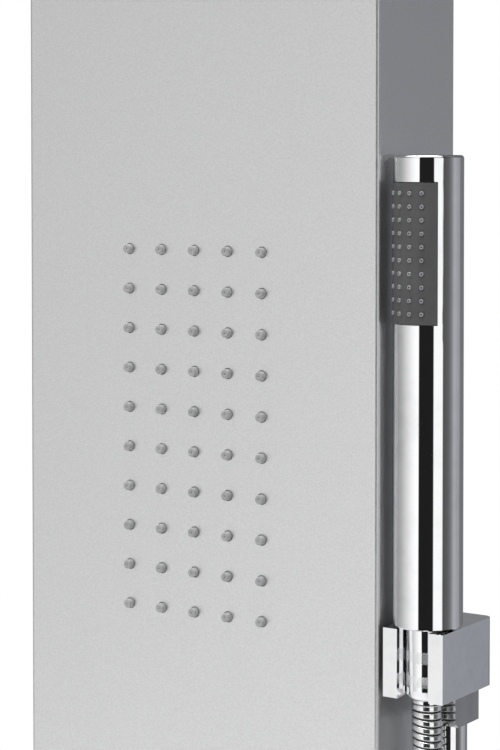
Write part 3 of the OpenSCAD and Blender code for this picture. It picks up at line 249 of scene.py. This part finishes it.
def make_plating_marks():
    """Faint water marks and wiping on plated metal, and the slight wave of the plating."""
    group, given, out = new_group(
        "plating_marks",
        [("Vector", "Vector", None), ("Spot Scale", "Float", 140.0), ("Roughness Low", "Float", 0.03),
         ("Roughness High", "Float", 0.08), ("Dark", "Color", (0.8, 0.8, 0.8, 1)),
         ("Light", "Color", (0.9, 0.9, 0.9, 1))],
        [("Color", "Color"), ("Roughness", "Float"), ("Height", "Float")],
    )
    wipe = noise(group, given.outputs["Vector"], 35.0, 3.0)
    spots = noise(group, given.outputs["Vector"], given.outputs["Spot Scale"], 4.0, 0.65)
    marks = remap(group, calculated(group, "MULTIPLY", wipe, spots), 0.18, 0.42, 0.0, 1.0)
    gloss = remap(group, marks, 0.0, 1.0, given.outputs["Roughness Low"], given.outputs["Roughness High"])
    tone = tone_between(group, marks, given.outputs["Light"], given.outputs["Dark"])
    group.links.new(tone, out.inputs["Color"])
    group.links.new(gloss, out.inputs["Roughness"])
    group.links.new(wipe, out.inputs["Height"])
    return group


def make_moulded_skin():
    """Skin of a moulded part: a very fine orange peel with small tonal drift."""
    group, given, out = new_group(
        "moulded_skin",
        [("Vector", "Vector", None), ("Peel Scale", "Float", 1500.0), ("Dark", "Color", (0.1, 0.1, 0.1, 1)),
         ("Light", "Color", (0.2, 0.2, 0.2, 1)), ("Roughness Low", "Float", 0.4),
         ("Roughness High", "Float", 0.55)],
        [("Color", "Color"), ("Roughness", "Float"), ("Height", "Float")],
    )
    peel = noise(group, given.outputs["Vector"], given.outputs["Peel Scale"], 2.0)
    drift = noise(group, given.outputs["Vector"], 60.0, 3.0)
    share = remap(group, drift, 0.3, 0.7, 0.0, 1.0)
    tone = tone_between(group, share, given.outputs["Dark"], given.outputs["Light"])
    gloss = remap(group, peel, 0.3, 0.7, given.outputs["Roughness Low"], given.outputs["Roughness High"])
    group.links.new(tone, out.inputs["Color"])
    group.links.new(gloss, out.inputs["Roughness"])
    group.links.new(peel, out.inputs["Height"])
    return group


# ---- Materials ----

def grey(level, tint=0.0):
    """A grey that leans to blue where tint is above 0 and to brown where it is below."""
    return (level * (1 - 0.3 * tint), level, level * (1 + tint), 1.0)


def finish_of(name, group, metallic, dark, light, rough, settings, relief, relief_depth, specular=0.5):
    """A material whose tone, gloss and relief come from one of the groups over the surface."""
    material = bpy.data.materials.new(name)
    material.use_nodes = True
    tree = material.node_tree
    shader = next(n for n in tree.nodes if n.type == "BSDF_PRINCIPLED")
    place = tree.nodes.new("ShaderNodeTexCoord")
    effect = tree.nodes.new("ShaderNodeGroup")
    effect.node_tree = group
    tree.links.new(place.outputs["Object"], effect.inputs["Vector"])
    effect.inputs["Dark"].default_value = dark
    effect.inputs["Light"].default_value = light
    effect.inputs["Roughness Low"].default_value = rough[0]
    effect.inputs["Roughness High"].default_value = rough[1]
    for label, value in settings.items():
        effect.inputs[label].default_value = value
    bump = tree.nodes.new("ShaderNodeBump")
    bump.inputs["Strength"].default_value = relief
    bump.inputs["Distance"].default_value = relief_depth
    shader.inputs["Metallic"].default_value = metallic
    shader.inputs["Specular IOR Level"].default_value = specular
    tree.links.new(effect.outputs["Color"], shader.inputs["Base Color"])
    tree.links.new(effect.outputs["Roughness"], shader.inputs["Roughness"])
    tree.links.new(effect.outputs["Height"], bump.inputs["Height"])
    tree.links.new(bump.outputs["Normal"], shader.inputs["Normal"])
    return material


def make_finishes():
    """Every finish of the object, by the record's slot names."""
    grain, plating, skin = make_blasted_grain(), make_plating_marks(), make_moulded_skin()
    return {
        "satin_steel": finish_of("satin column sheet", grain, 1.0, grey(0.7, 0.004), grey(0.82, 0.004),
                                 (0.34, 0.44), {"Grain Scale": 1200.0}, 0.4, 0.0001),
        "zinc_steel": finish_of("zinc plated bracket sheet", grain, 1.0, grey(0.42, 0.03), grey(0.62, 0.03),
                                (0.38, 0.6), {"Grain Scale": 700.0}, 0.2, 0.0001),
        "chrome": finish_of("polished chrome plating", plating, 1.0, grey(0.86, 0.01), grey(0.93, 0.01),
                            (0.03, 0.07), {}, 0.04, 0.00005),
        "hose_metal": finish_of("chromed hose strip", plating, 1.0, grey(0.76, 0.01), grey(0.9, 0.01),
                                (0.08, 0.2), {"Spot Scale": 400.0}, 0.1, 0.00005),
        # painted shade: a near-black copy of the hose metal that stands in for the shade deep in the hose's
        # grooves
        "hose_groove": finish_of("hose groove painted shade", plating, 1.0, grey(0.05, 0.01), grey(0.09, 0.01),
                                 (0.25, 0.4), {"Spot Scale": 400.0}, 0.1, 0.00005),
        "steel_stem": finish_of("turned steel stem", plating, 1.0, grey(0.6, 0.0), grey(0.74, 0.0),
                                (0.16, 0.3), {"Spot Scale": 600.0}, 0.1, 0.00004),
        "nozzle_rubber": finish_of("grey nozzle silicone", skin, 0.0, grey(0.42, 0.015), grey(0.5, 0.015),
                                   (0.4, 0.55), {}, 0.12, 0.00005),
        "spray_plate": finish_of("dark spray plate plastic", skin, 0.0, grey(0.095, 0.02), grey(0.118, 0.02),
                                 (0.5, 0.6), {"Peel Scale": 900.0}, 0.08, 0.00004, specular=0.35),
        "outlet_metal": finish_of("satin plated outlet block", plating, 1.0, grey(0.5, 0.0), grey(0.56, 0.0),
                                  (0.1, 0.18), {}, 0.05, 0.00005),
        "black_plastic": finish_of("black moulded plastic", skin, 0.0, grey(0.012, 0.0), grey(0.022, 0.0),
                                   (0.4, 0.58), {}, 0.2, 0.00006),
        "white_plastic": finish_of("white cartridge plastic", skin, 0.0, grey(0.7, -0.01), grey(0.78, -0.01),
                                   (0.35, 0.5), {}, 0.12, 0.00006),
        "spray_nub": finish_of("pale spray nub silicone", skin, 0.0, grey(0.33, 0.03), grey(0.4, 0.03),
                               (0.3, 0.45), {}, 0.1, 0.00004),
        "floor": finish_of("pale studio floor", skin, 0.0, grey(0.78), grey(0.82), (0.7, 0.8),
                           {"Peel Scale": 40.0}, 0.02, 0.0002),
        "brass": finish_of("cast brass", grain, 1.0, (0.6, 0.44, 0.2, 1), (0.76, 0.58, 0.28, 1),
                           (0.3, 0.48), {"Grain Scale": 900.0}, 0.25, 0.0001),
        "copper_pipe": finish_of("drawn copper pipe", plating, 1.0, (0.56, 0.27, 0.16, 1),
                                 (0.74, 0.4, 0.27, 1), (0.2, 0.36), {}, 0.1, 0.00005),
    }


def dress_cad_nodes(finishes):
    """Gives each carried-over CAD node the finish of its record slot."""
    for node in NODES.values():
        for slot in node.material_slots:
            if slot.material and slot.material.name in finishes:
                slot.material = finishes[slot.material.name]
    for slot in NODES["outlet_block"].material_slots:
        slot.material = finishes["outlet_metal"]


# ---- Repeated nubs by Geometry Nodes ----

def nub_blank(name, root_r, tip_r, height, bore_r, rim_r, bore_depth, sides, finish):
    """One rubber nub that stands on Z = 0 and points along +Z, with a rolled rim and its bore."""
    profile = [(root_r, 0.0)]
    profile += rounded(rim_r, (tip_r - rim_r, height - rim_r), 0, 90, 3)
    bore_rim = 0.4 * rim_r
    profile += [(bore_r + bore_rim, height), (bore_r, height - bore_rim), (bore_r, height - bore_depth)]
    verts = turned(profile, sides)
    last = (len(profile) - 1) * sides
    faces = grid_faces(len(profile), sides)
    faces += [tuple(last + k for k in range(sides)), tuple(reversed(range(sides)))]
    return mesh_piece(name, verts, faces, finish, sharp_angle=50)


def nub_field_tree(name, around):
    """Tree that keeps the mat and stands nubs on it, in columns and rows or around an upright axis."""
    tree = bpy.data.node_groups.new(name, "GeometryNodeTree")
    for label, kind in (("Geometry", "Geometry"), ("Nub", "Object"), ("Finish", "Material"),
                        ("Columns", "Int"), ("Rows", "Int"), ("Column Step", "Float"),
                        ("Row Step", "Float"), ("Foot", "Float"), ("Turn", "Float")):
        tree.interface.new_socket(label, in_out="INPUT", socket_type="NodeSocket" + kind)
    tree.interface.new_socket("Geometry", in_out="OUTPUT", socket_type="NodeSocketGeometry")
    given = tree.nodes.new("NodeGroupInput").outputs
    out = tree.nodes.new("NodeGroupOutput").inputs
    link = tree.links.new

    def steps_from_middle(number, count, step):
        middle = calculated(tree, "MULTIPLY", calculated(tree, "SUBTRACT", count, 1.0), 0.5)
        return calculated(tree, "MULTIPLY", calculated(tree, "SUBTRACT", number, middle), step)

    line = tree.nodes.new("GeometryNodeMeshLine")
    link(calculated(tree, "MULTIPLY", given["Columns"], given["Rows"]), line.inputs["Count"])
    index = tree.nodes.new("GeometryNodeInputIndex").outputs[0]
    row = calculated(tree, "FLOOR", calculated(tree, "DIVIDE", calculated(tree, "ADD", index, 0.5),
                                               given["Columns"]))
    column = calculated(tree, "SUBTRACT", index, calculated(tree, "MULTIPLY", row, given["Columns"]))
    across = steps_from_middle(column, given["Columns"], given["Column Step"])
    place = tree.nodes.new("ShaderNodeCombineXYZ")
    stance = tree.nodes.new("ShaderNodeCombineXYZ")
    stance.inputs["X"].default_value = math.pi / 2
    if around:
        angle = calculated(tree, "ADD", across, given["Turn"])
        toward_front = calculated(tree, "MULTIPLY", given["Foot"], -1.0)
        for function, reach, axis in (("SINE", given["Foot"], "X"), ("COSINE", toward_front, "Y")):
            share = calculated(tree, function, angle)
            link(calculated(tree, "MULTIPLY", share, reach), place.inputs[axis])
        link(angle, stance.inputs["Z"])
    else:
        link(across, place.inputs["X"])
        link(given["Foot"], place.inputs["Y"])
    link(steps_from_middle(row, given["Rows"], given["Row Step"]), place.inputs["Z"])
    moved = tree.nodes.new("GeometryNodeSetPosition")
    link(line.outputs["Mesh"], moved.inputs["Geometry"])
    link(place.outputs[0], moved.inputs["Position"])
    source = tree.nodes.new("GeometryNodeObjectInfo")
    link(given["Nub"], source.inputs["Object"])
    heading = tree.nodes.new("FunctionNodeEulerToRotation")
    link(stance.outputs[0], heading.inputs[0])
    copies = tree.nodes.new("GeometryNodeInstanceOnPoints")
    link(moved.outputs["Geometry"], copies.inputs["Points"])
    link(source.outputs["Geometry"], copies.inputs["Instance"])
    link(heading.outputs[0], copies.inputs["Rotation"])
    both = tree.nodes.new("GeometryNodeJoinGeometry")
    link(given["Geometry"], both.inputs[0])
    link(copies.outputs["Instances"], both.inputs[0])
    real = tree.nodes.new("GeometryNodeRealizeInstances")
    link(both.outputs[0], real.inputs["Geometry"])
    dressed = tree.nodes.new("GeometryNodeSetMaterial")
    link(real.outputs["Geometry"], dressed.inputs["Geometry"])
    link(given["Finish"], dressed.inputs["Material"])
    link(dressed.outputs["Geometry"], out["Geometry"])
    return tree


def grown_by_tree(mat, tree, values, centre):
    """Makes the mat and its nubs one plain mesh, and moves it to its place in the frame."""
    modifier = mat.modifiers.new("nubs", "NODES")
    modifier.node_group = tree
    for item in tree.interface.items_tree:
        if item.in_out == "INPUT" and item.name in values:
            modifier[item.identifier] = values[item.name]
    bpy.context.view_layer.update()
    ready = mat.evaluated_get(bpy.context.evaluated_depsgraph_get())
    mesh = bpy.data.meshes.new_from_object(ready)
    mat.modifiers.remove(modifier)
    mat.data = mesh
    mesh.transform(Matrix.Translation(centre))


def flat_mat(name, width, height, y_front, y_back, finish, corner_r=0.004):
    """Upright sheet of rubber with rounded corners, centred on X = Z = 0."""
    outline = []
    for turn, (sx, sz) in zip((0, 90, 180, 270), ((1, 1), (-1, 1), (-1, -1), (1, -1))):
        centre = (sx * (width / 2 - corner_r), sz * (height / 2 - corner_r))
        outline += rounded(corner_r, centre, turn, turn + 90)
    count = len(outline)
    verts = [(x, y, z) for y in (y_front, y_back) for x, z in outline]
    faces = grid_faces(2, count) + [tuple(range(count)), tuple(reversed(range(count, 2 * count)))]
    return mesh_piece(name, verts, faces, finish)


def curved_mat(name, inner_r, outer_r, height, middle, spread, finish, steps=24):
    """Upright sheet of rubber bent around Z, from its middle angle by half its spread each way."""
    verts = []
    for k in range(steps + 1):
        angle = middle + spread * (k / steps - 0.5)
        verts += [(r * math.sin(angle), -r * math.cos(angle), z)
                  for r, z in ((inner_r, -height / 2), (outer_r, -height / 2),
                               (outer_r, height / 2), (inner_r, height / 2))]
    faces = grid_faces(steps + 1, 4) + [(3, 2, 1, 0), tuple(4 * steps + k for k in range(4))]
    return mesh_piece(name, verts, faces, finish)


def stands_for(piece, node):
    """Rides the piece on the body of the CAD node that it replaces, and hides that node."""
    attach(piece, NODES[node]["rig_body"])
    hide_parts(node)


def make_jet_nubs(finishes):
    """Ten rows of five soft nubs that reach through the front of the column."""
    pitch, mat_thickness, nub_root_r, nub_tip_r, bore_r = 19 * MM, 2 * MM, 2.3 * MM, 2.1 * MM, 0.25 * MM
    low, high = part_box("jet_nozzle_mat")
    centre = (low + high) / 2
    mat_front = high.y - mat_thickness
    blank = nub_blank("jet_nub_blank", nub_root_r, nub_tip_r, mat_front - low.y, bore_r, 0.45 * MM,
                      1.2 * MM, 28, finishes["nozzle_rubber"])
    mat = flat_mat("jet_nozzle_nubs", high.x - low.x, high.z - low.z, mat_front, high.y,
                   finishes["nozzle_rubber"])
    grown_by_tree(mat, nub_field_tree("nubs on a flat mat", False),
                  {"Nub": blank, "Finish": finishes["nozzle_rubber"], "Columns": 5, "Rows": 10,
                   "Column Step": pitch, "Row Step": pitch, "Foot": mat_front},
                  Vector((centre.x, 0, centre.z)))
    bpy.data.objects.remove(blank)
    stands_for(mat, "jet_nozzle_mat")


def make_handset_nubs(finishes):
    """Ten rows of four small nubs around the front of the handset, on the mat under its spray plate."""
    row_step, column_step, turn = 5.9 * MM, math.radians(20), math.radians(-11.8)
    plate_r, nub_rise, nub_r, spread = 16.3 * MM, 0.6 * MM, 1.1 * MM, math.radians(105.4)
    low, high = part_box("handset_nozzle_mat")
    axis = handset_axis()
    height = high.z - low.z
    inner_r, outer_r = 11.5 * MM, 13.1 * MM
    blank = nub_blank("handset_nub_blank", nub_r, nub_r - 0.1 * MM, plate_r + nub_rise - outer_r, 0.4 * MM,
                      0.3 * MM, 1.0 * MM, 20, finishes["spray_nub"])
    rubber = finishes["nozzle_rubber"]
    mat = curved_mat("handset_nozzle_nubs", inner_r, outer_r, height, turn, spread, rubber)
    grown_by_tree(mat, nub_field_tree("nubs around a handset", True),
                  {"Nub": blank, "Finish": finishes["spray_nub"], "Columns": 4, "Rows": 10,
                   "Column Step": column_step, "Row Step": row_step, "Foot": outer_r, "Turn": turn},
                  Vector((axis.x, axis.y, (low.z + high.z) / 2)))
    bpy.data.objects.remove(blank)
    stands_for(mat, "handset_nozzle_mat")


# ---- Hose nut ----

def handset_axis():
    """Middle of the handset's body, on the upright axis that it turns on."""
    low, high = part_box("handset_body")
    return (low + high) / 2


def knurl_depth(angle, height, cells, cell):
    """How deep the crossed grooves of a knurl are at a place, from 0 on a diamond to 1 in a groove."""
    groove_share = 0.2
    around, up = cells * angle / (2 * math.pi), height / cell
    nearest = max(abs((around + up) % 1 - 0.5), abs((around - up) % 1 - 0.5)) * 2
    return max(nearest - (1 - groove_share), 0.0) / groove_share


def make_hose_nut(finishes):
    """Slightly conical nut under the handset, with two bands of diamond knurling and a rounded foot."""
    cells, cell, depth, sides_per_cell = 44, 1.4 * MM, 0.09 * MM, 10
    foot_r, top_r, bore_r, neck_r, lip = 9.4 * MM, 9.95 * MM, 8.45 * MM, 5.6 * MM, 7.5 * MM
    bands = ((43.9 * MM, 48.7 * MM), (54.5 * MM, 59.7 * MM))
    round_r, top_edge, row = 2.2 * MM, 0.5 * MM, 0.14 * MM
    low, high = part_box("hose_nut")
    axis = handset_axis()

    def cone_r(z):
        return foot_r + (top_r - foot_r) * (z - low.z) / (high.z - low.z)

    heights = [low.z + round_r]
    for start, end in bands:
        rows = round((end - start) / row)
        heights += [start - 0.3 * MM, start - 0.05 * MM]
        heights += [start + (end - start) * k / rows for k in range(rows + 1)]
        heights += [end + 0.05 * MM, end + 0.3 * MM]
    heights.append(high.z - top_edge)
    profile = [(neck_r, low.z)] + rounded(round_r, (foot_r - round_r, low.z + round_r), -90, 0, 6)
    profile += [(cone_r(z), z) for z in heights[1:]]
    profile += rounded(top_edge, (top_r - top_edge, high.z - top_edge), 0, 90, 3)[1:]
    profile += [(bore_r, high.z), (bore_r, low.z + lip), (neck_r, low.z + lip)]
    profile.append(profile[0])
    sides = cells * sides_per_cell
    verts = turned(profile, sides, (axis.x, axis.y, 0))
    faces = grid_faces(len(profile), sides)
    for i, (r, z) in enumerate(profile):
        for start, end in bands:
            if start <= z <= end and r > bore_r:
                for k in range(sides):
                    angle = 2 * math.pi * k / sides
                    inner = 1 - depth * knurl_depth(angle, z - start, cells, cell) / r
                    x, y, up = verts[i * sides + k]
                    verts[i * sides + k] = (axis.x + (x - axis.x) * inner, axis.y + (y - axis.y) * inner, up)
    nut = mesh_piece("knurled_hose_nut", verts, faces, finishes["chrome"], sharp_angle=17)
    stands_for(nut, "hose_nut")


# ---- Shower hose ----

HOSE_D = 14 * MM
HOSE_ROUTE = [
    (118, -36, -45), (118, -36, -85), (118, -35, -125), (118, -33, -165), (118, -31, -205),
    (119, -29, -245), (119, -27, -285), (120, -25, -325), (120, -23, -365), (121, -21, -405),
    (121, -19, -445), (122, -18, -485), (122, -17, -525), (122, -16, -565), (122, -17, -600),
    (122, -21, -635), (122, -33, -665), (122, -52, -687), (122, -78, -695), (122, -104, -687),
    (122, -124, -667), (122, -136, -638), (122, -139, -603), (122, -137, -565), (122, -132, -525),
    (122, -125, -485), (122, -118, -445), (121, -111, -405), (121, -104, -365), (120, -97, -325),
    (120, -90, -285), (119, -83, -245), (119, -77, -205), (118, -71, -165), (118, -66, -125),
    (118, -61, -85), (118, -57, -45), (118, -55, -5),
]


def hose_centreline(step):
    """Points a step apart on one smooth curve through the hose's route, with its two ends upright."""
    axis = handset_axis()
    outlet_low, outlet_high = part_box("outlet_ferrule")
    start = Vector(((outlet_low.x + outlet_high.x) / 2, (outlet_low.y + outlet_high.y) / 2, outlet_low.z))
    end = Vector((axis.x, axis.y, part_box("hose_ferrule")[0].z))
    points = [start] + [Vector(p) * MM for p in HOSE_ROUTE] + [end]
    first, last = (points[1] - start).length, (end - points[-2]).length
    points = [start + Vector((0, 0, first))] + points + [end + Vector((0, 0, last))]
    fine = []
    for a, b, c, d in zip(points, points[1:], points[2:], points[3:]):
        for k in range(40):
            t = k / 40
            fine.append(0.5 * (2 * b + (c - a) * t + (2 * a - 5 * b + 4 * c - d) * t ** 2
                               + (3 * b - a - 3 * c + d) * t ** 3))
    fine = np.array([list(p) for p in fine + [end]])
    along = np.concatenate([[0], np.cumsum(np.linalg.norm(np.diff(fine, axis=0), axis=1))])
    count = round(along[-1] / step)
    places = np.linspace(0, along[-1], count + 1)
    return np.stack([np.interp(places, along, fine[:, i]) for i in range(3)], 1), places


def make_shower_hose(finishes):
    """Interlocked metal strip hose: each turn has a high lip, a lower step and a groove, whose faces get a
    dark finish as painted shade.
    """
    turn_pitch, sides, lean = 3.2 * MM, 24, 0.28
    lips = ((0.0, 0.905), (0.08, 0.98), (0.14, 1.0), (0.18, 1.0), (0.64, 1.0), (0.68, 1.0), (0.76, 0.975),
            (0.84, 0.905))
    centres, places = hose_centreline(turn_pitch)
    turns = len(centres) - 1
    pitch = places[-1] / turns
    stations = [(n + share) * pitch for n in range(turns) for share, _ in lips] + [places[-1]]
    radii = [HOSE_D / 2 * level for n in range(turns) for _, level in lips] + [HOSE_D / 2 * lips[-1][1]]
    rings = np.stack([np.interp(stations, places, centres[:, i]) for i in range(3)], 1)
    heading = np.gradient(rings, axis=0)
    heading /= np.linalg.norm(heading, axis=1)[:, None]
    heading[0], heading[-1] = (0, 0, -1), (0, 0, 1)
    side = np.cross(heading, (1.0, 0, 0))
    side /= np.linalg.norm(side, axis=1)[:, None]
    other = np.cross(heading, side)
    verts = []
    for i, centre in enumerate(rings):
        fade = min(1.0, stations[i] / (3 * pitch), (places[-1] - stations[i]) / (3 * pitch))
        for k in range(sides):
            angle = 2 * math.pi * k / sides
            out = math.cos(angle) * side[i] + math.sin(angle) * other[i]
            verts.append(centre + radii[i] * out + fade * lean * pitch * math.sin(angle) * heading[i])
    faces = grid_faces(len(rings), sides)
    faces += [tuple(range(sides)), tuple((len(rings) - 1) * sides + k for k in reversed(range(sides)))]
    hose = mesh_piece("shower_hose_strip", verts, faces, finishes["hose_metal"], sharp_angle=50)
    # painted shade: the faces of each turn's groove rows get the dark groove finish in place of the shade
    # there
    hose.data.materials.append(finishes["hose_groove"])
    painted_shade_rows = (0, len(lips) - 1)
    for index, face in enumerate(hose.data.polygons):
        face.material_index = 1 if (index // sides) % len(lips) in painted_shade_rows else 0
    start, end = Vector(centres[0]), Vector(centres[-1])
    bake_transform(hose, "column", "hose_end", start=start, end=end)
    follow_along_hose(hose, centres, places)
    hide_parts("shower_hose")


def follow_along_hose(hose, centres, places):
    """The hose doubles back beside itself, so its share of the handset's lift grows along its length."""
    share = hose.data.attributes["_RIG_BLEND"]
    points = np.array([v.co for v in hose.data.vertices])
    nearest = np.array([np.argmin(((centres - p) ** 2).sum(1)) for p in points])
    along = places[nearest] / places[-1]
    share.data.foreach_set("value", (along * along * (3 - 2 * along)).astype(np.float32))


# ---- Studio ----

def studio_light():
    """Plain white surroundings of soft panels: bright to the left, dark behind the camera, grey behind."""
    world = bpy.data.worlds.new("studio")
    bpy.context.scene.world = world
    world.use_nodes = True
    tree = world.node_tree
    tree.nodes.clear()
    link = tree.links.new
    toward_camera = (math.sin(CAMERA_YAW), -math.cos(CAMERA_YAW), 0)
    camera_right = (math.cos(CAMERA_YAW), math.sin(CAMERA_YAW), 0)
    direction = tree.nodes.new("ShaderNodeTexCoord").outputs["Generated"]

    def share_along(axis):
        node = tree.nodes.new("ShaderNodeVectorMath")
        node.operation = "DOT_PRODUCT"
        link(direction, node.inputs[0])
        node.inputs[1].default_value = axis
        return node.outputs["Value"]

    bearing = calculated(tree, "ARCTAN2", share_along(camera_right), share_along(toward_camera))
    around = remap(tree, bearing, -math.pi, math.pi, 0.0, 1.0)
    ramp = tree.nodes.new("ShaderNodeValToRGB")
    link(around, ramp.inputs["Fac"])
    # bearing in degrees from the camera's side towards its right, brightness, lean to blue
    stops = [(-180, 0.30, 0.04), (-145, 0.335, 0.01), (-117, 0.36, 0.01), (-106, 0.41, 0), (-96, 0.49, 0),
             (-87, 0.60, 0), (-72, 0.78, 0), (-57, 0.98, 0), (-43, 1.09, 0), (-36, 1.1, 0), (-34, 0.014, 0),
             (12, 0.014, 0), (14, 1.03, 0), (42, 1.03, 0), (45, 0.085, 0), (63, 0.12, 0.02),
             (71, 0.17, 0.03), (79, 0.26, 0.03), (87, 0.42, 0.03), (97, 0.40, 0.05), (108, 0.33, 0.09),
             (118, 0.305, 0.1), (128, 0.2, 0.1), (140, 0.16, 0.08), (180, 0.30, 0.04)]
    elements = ramp.color_ramp.elements
    for bearing_deg, level, tint in stops:
        place = (bearing_deg + 180) / 360
        if place in (0, 1):
            element = elements[0 if place == 0 else -1]
        else:
            element = elements.new(place)
        element.color = grey(level, tint)
    seen = tree.nodes.new("ShaderNodeLightPath").outputs["Is Camera Ray"]
    backdrop = tree.nodes.new("ShaderNodeBackground")
    panels = tree.nodes.new("ShaderNodeBackground")
    link(ramp.outputs["Color"], panels.inputs["Color"])
    upward = share_along((0, 0, 1))
    link(remap(tree, upward, 0.02, 0.5, 1.0, 0.5), panels.inputs["Strength"])
    either = tree.nodes.new("ShaderNodeMixShader")
    link(seen, either.inputs["Fac"])
    link(panels.outputs[0], either.inputs[1])
    link(backdrop.outputs[0], either.inputs[2])
    backdrop.inputs["Color"].default_value = (1, 1, 1, 1)
    out = tree.nodes.new("ShaderNodeOutputWorld")
    link(either.outputs[0], out.inputs["Surface"])


def soft_panel(name, place, aim, size, power, spread_deg):
    """A square soft light that shines from one place towards another and isn't seen itself."""
    light = bpy.data.lights.new(name, "AREA")
    light.size = size
    light.energy = power
    light.spread = math.radians(spread_deg)
    panel = bpy.data.objects.new(name, light)
    panel.location = place
    panel.rotation_euler = (Vector(aim) - Vector(place)).to_track_quat("-Z", "Y").to_euler()
    panel.visible_camera = False
    bpy.context.scene.collection.objects.link(panel)


def pale_floor(finishes):
    """Round pale floor just under the lowest point of the object."""
    radius, sides = 2.2, 96
    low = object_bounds()[0]
    turn = [2 * math.pi * k / sides for k in range(sides)]
    edge = [(radius * math.cos(angle), radius * math.sin(angle), low.z - MM) for angle in turn]
    floor = mesh_piece("studio_floor", edge, [tuple(range(sides))], finishes["floor"])
    floor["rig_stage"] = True


# ---- The scene ----

bpy.context.scene.view_settings.view_transform = "Standard"
place_camera()
finishes = make_finishes()
make_shower_hose(finishes)
dress_cad_nodes(finishes)
make_jet_nubs(finishes)
make_handset_nubs(finishes)
make_hose_nut(finishes)
studio_light()
soft_panel("overhead_softbox", (-0.3, -1.3, 2.3), (-0.3, -1.3, -0.7), 3.2, 52.0, 95)
pale_floor(finishes)
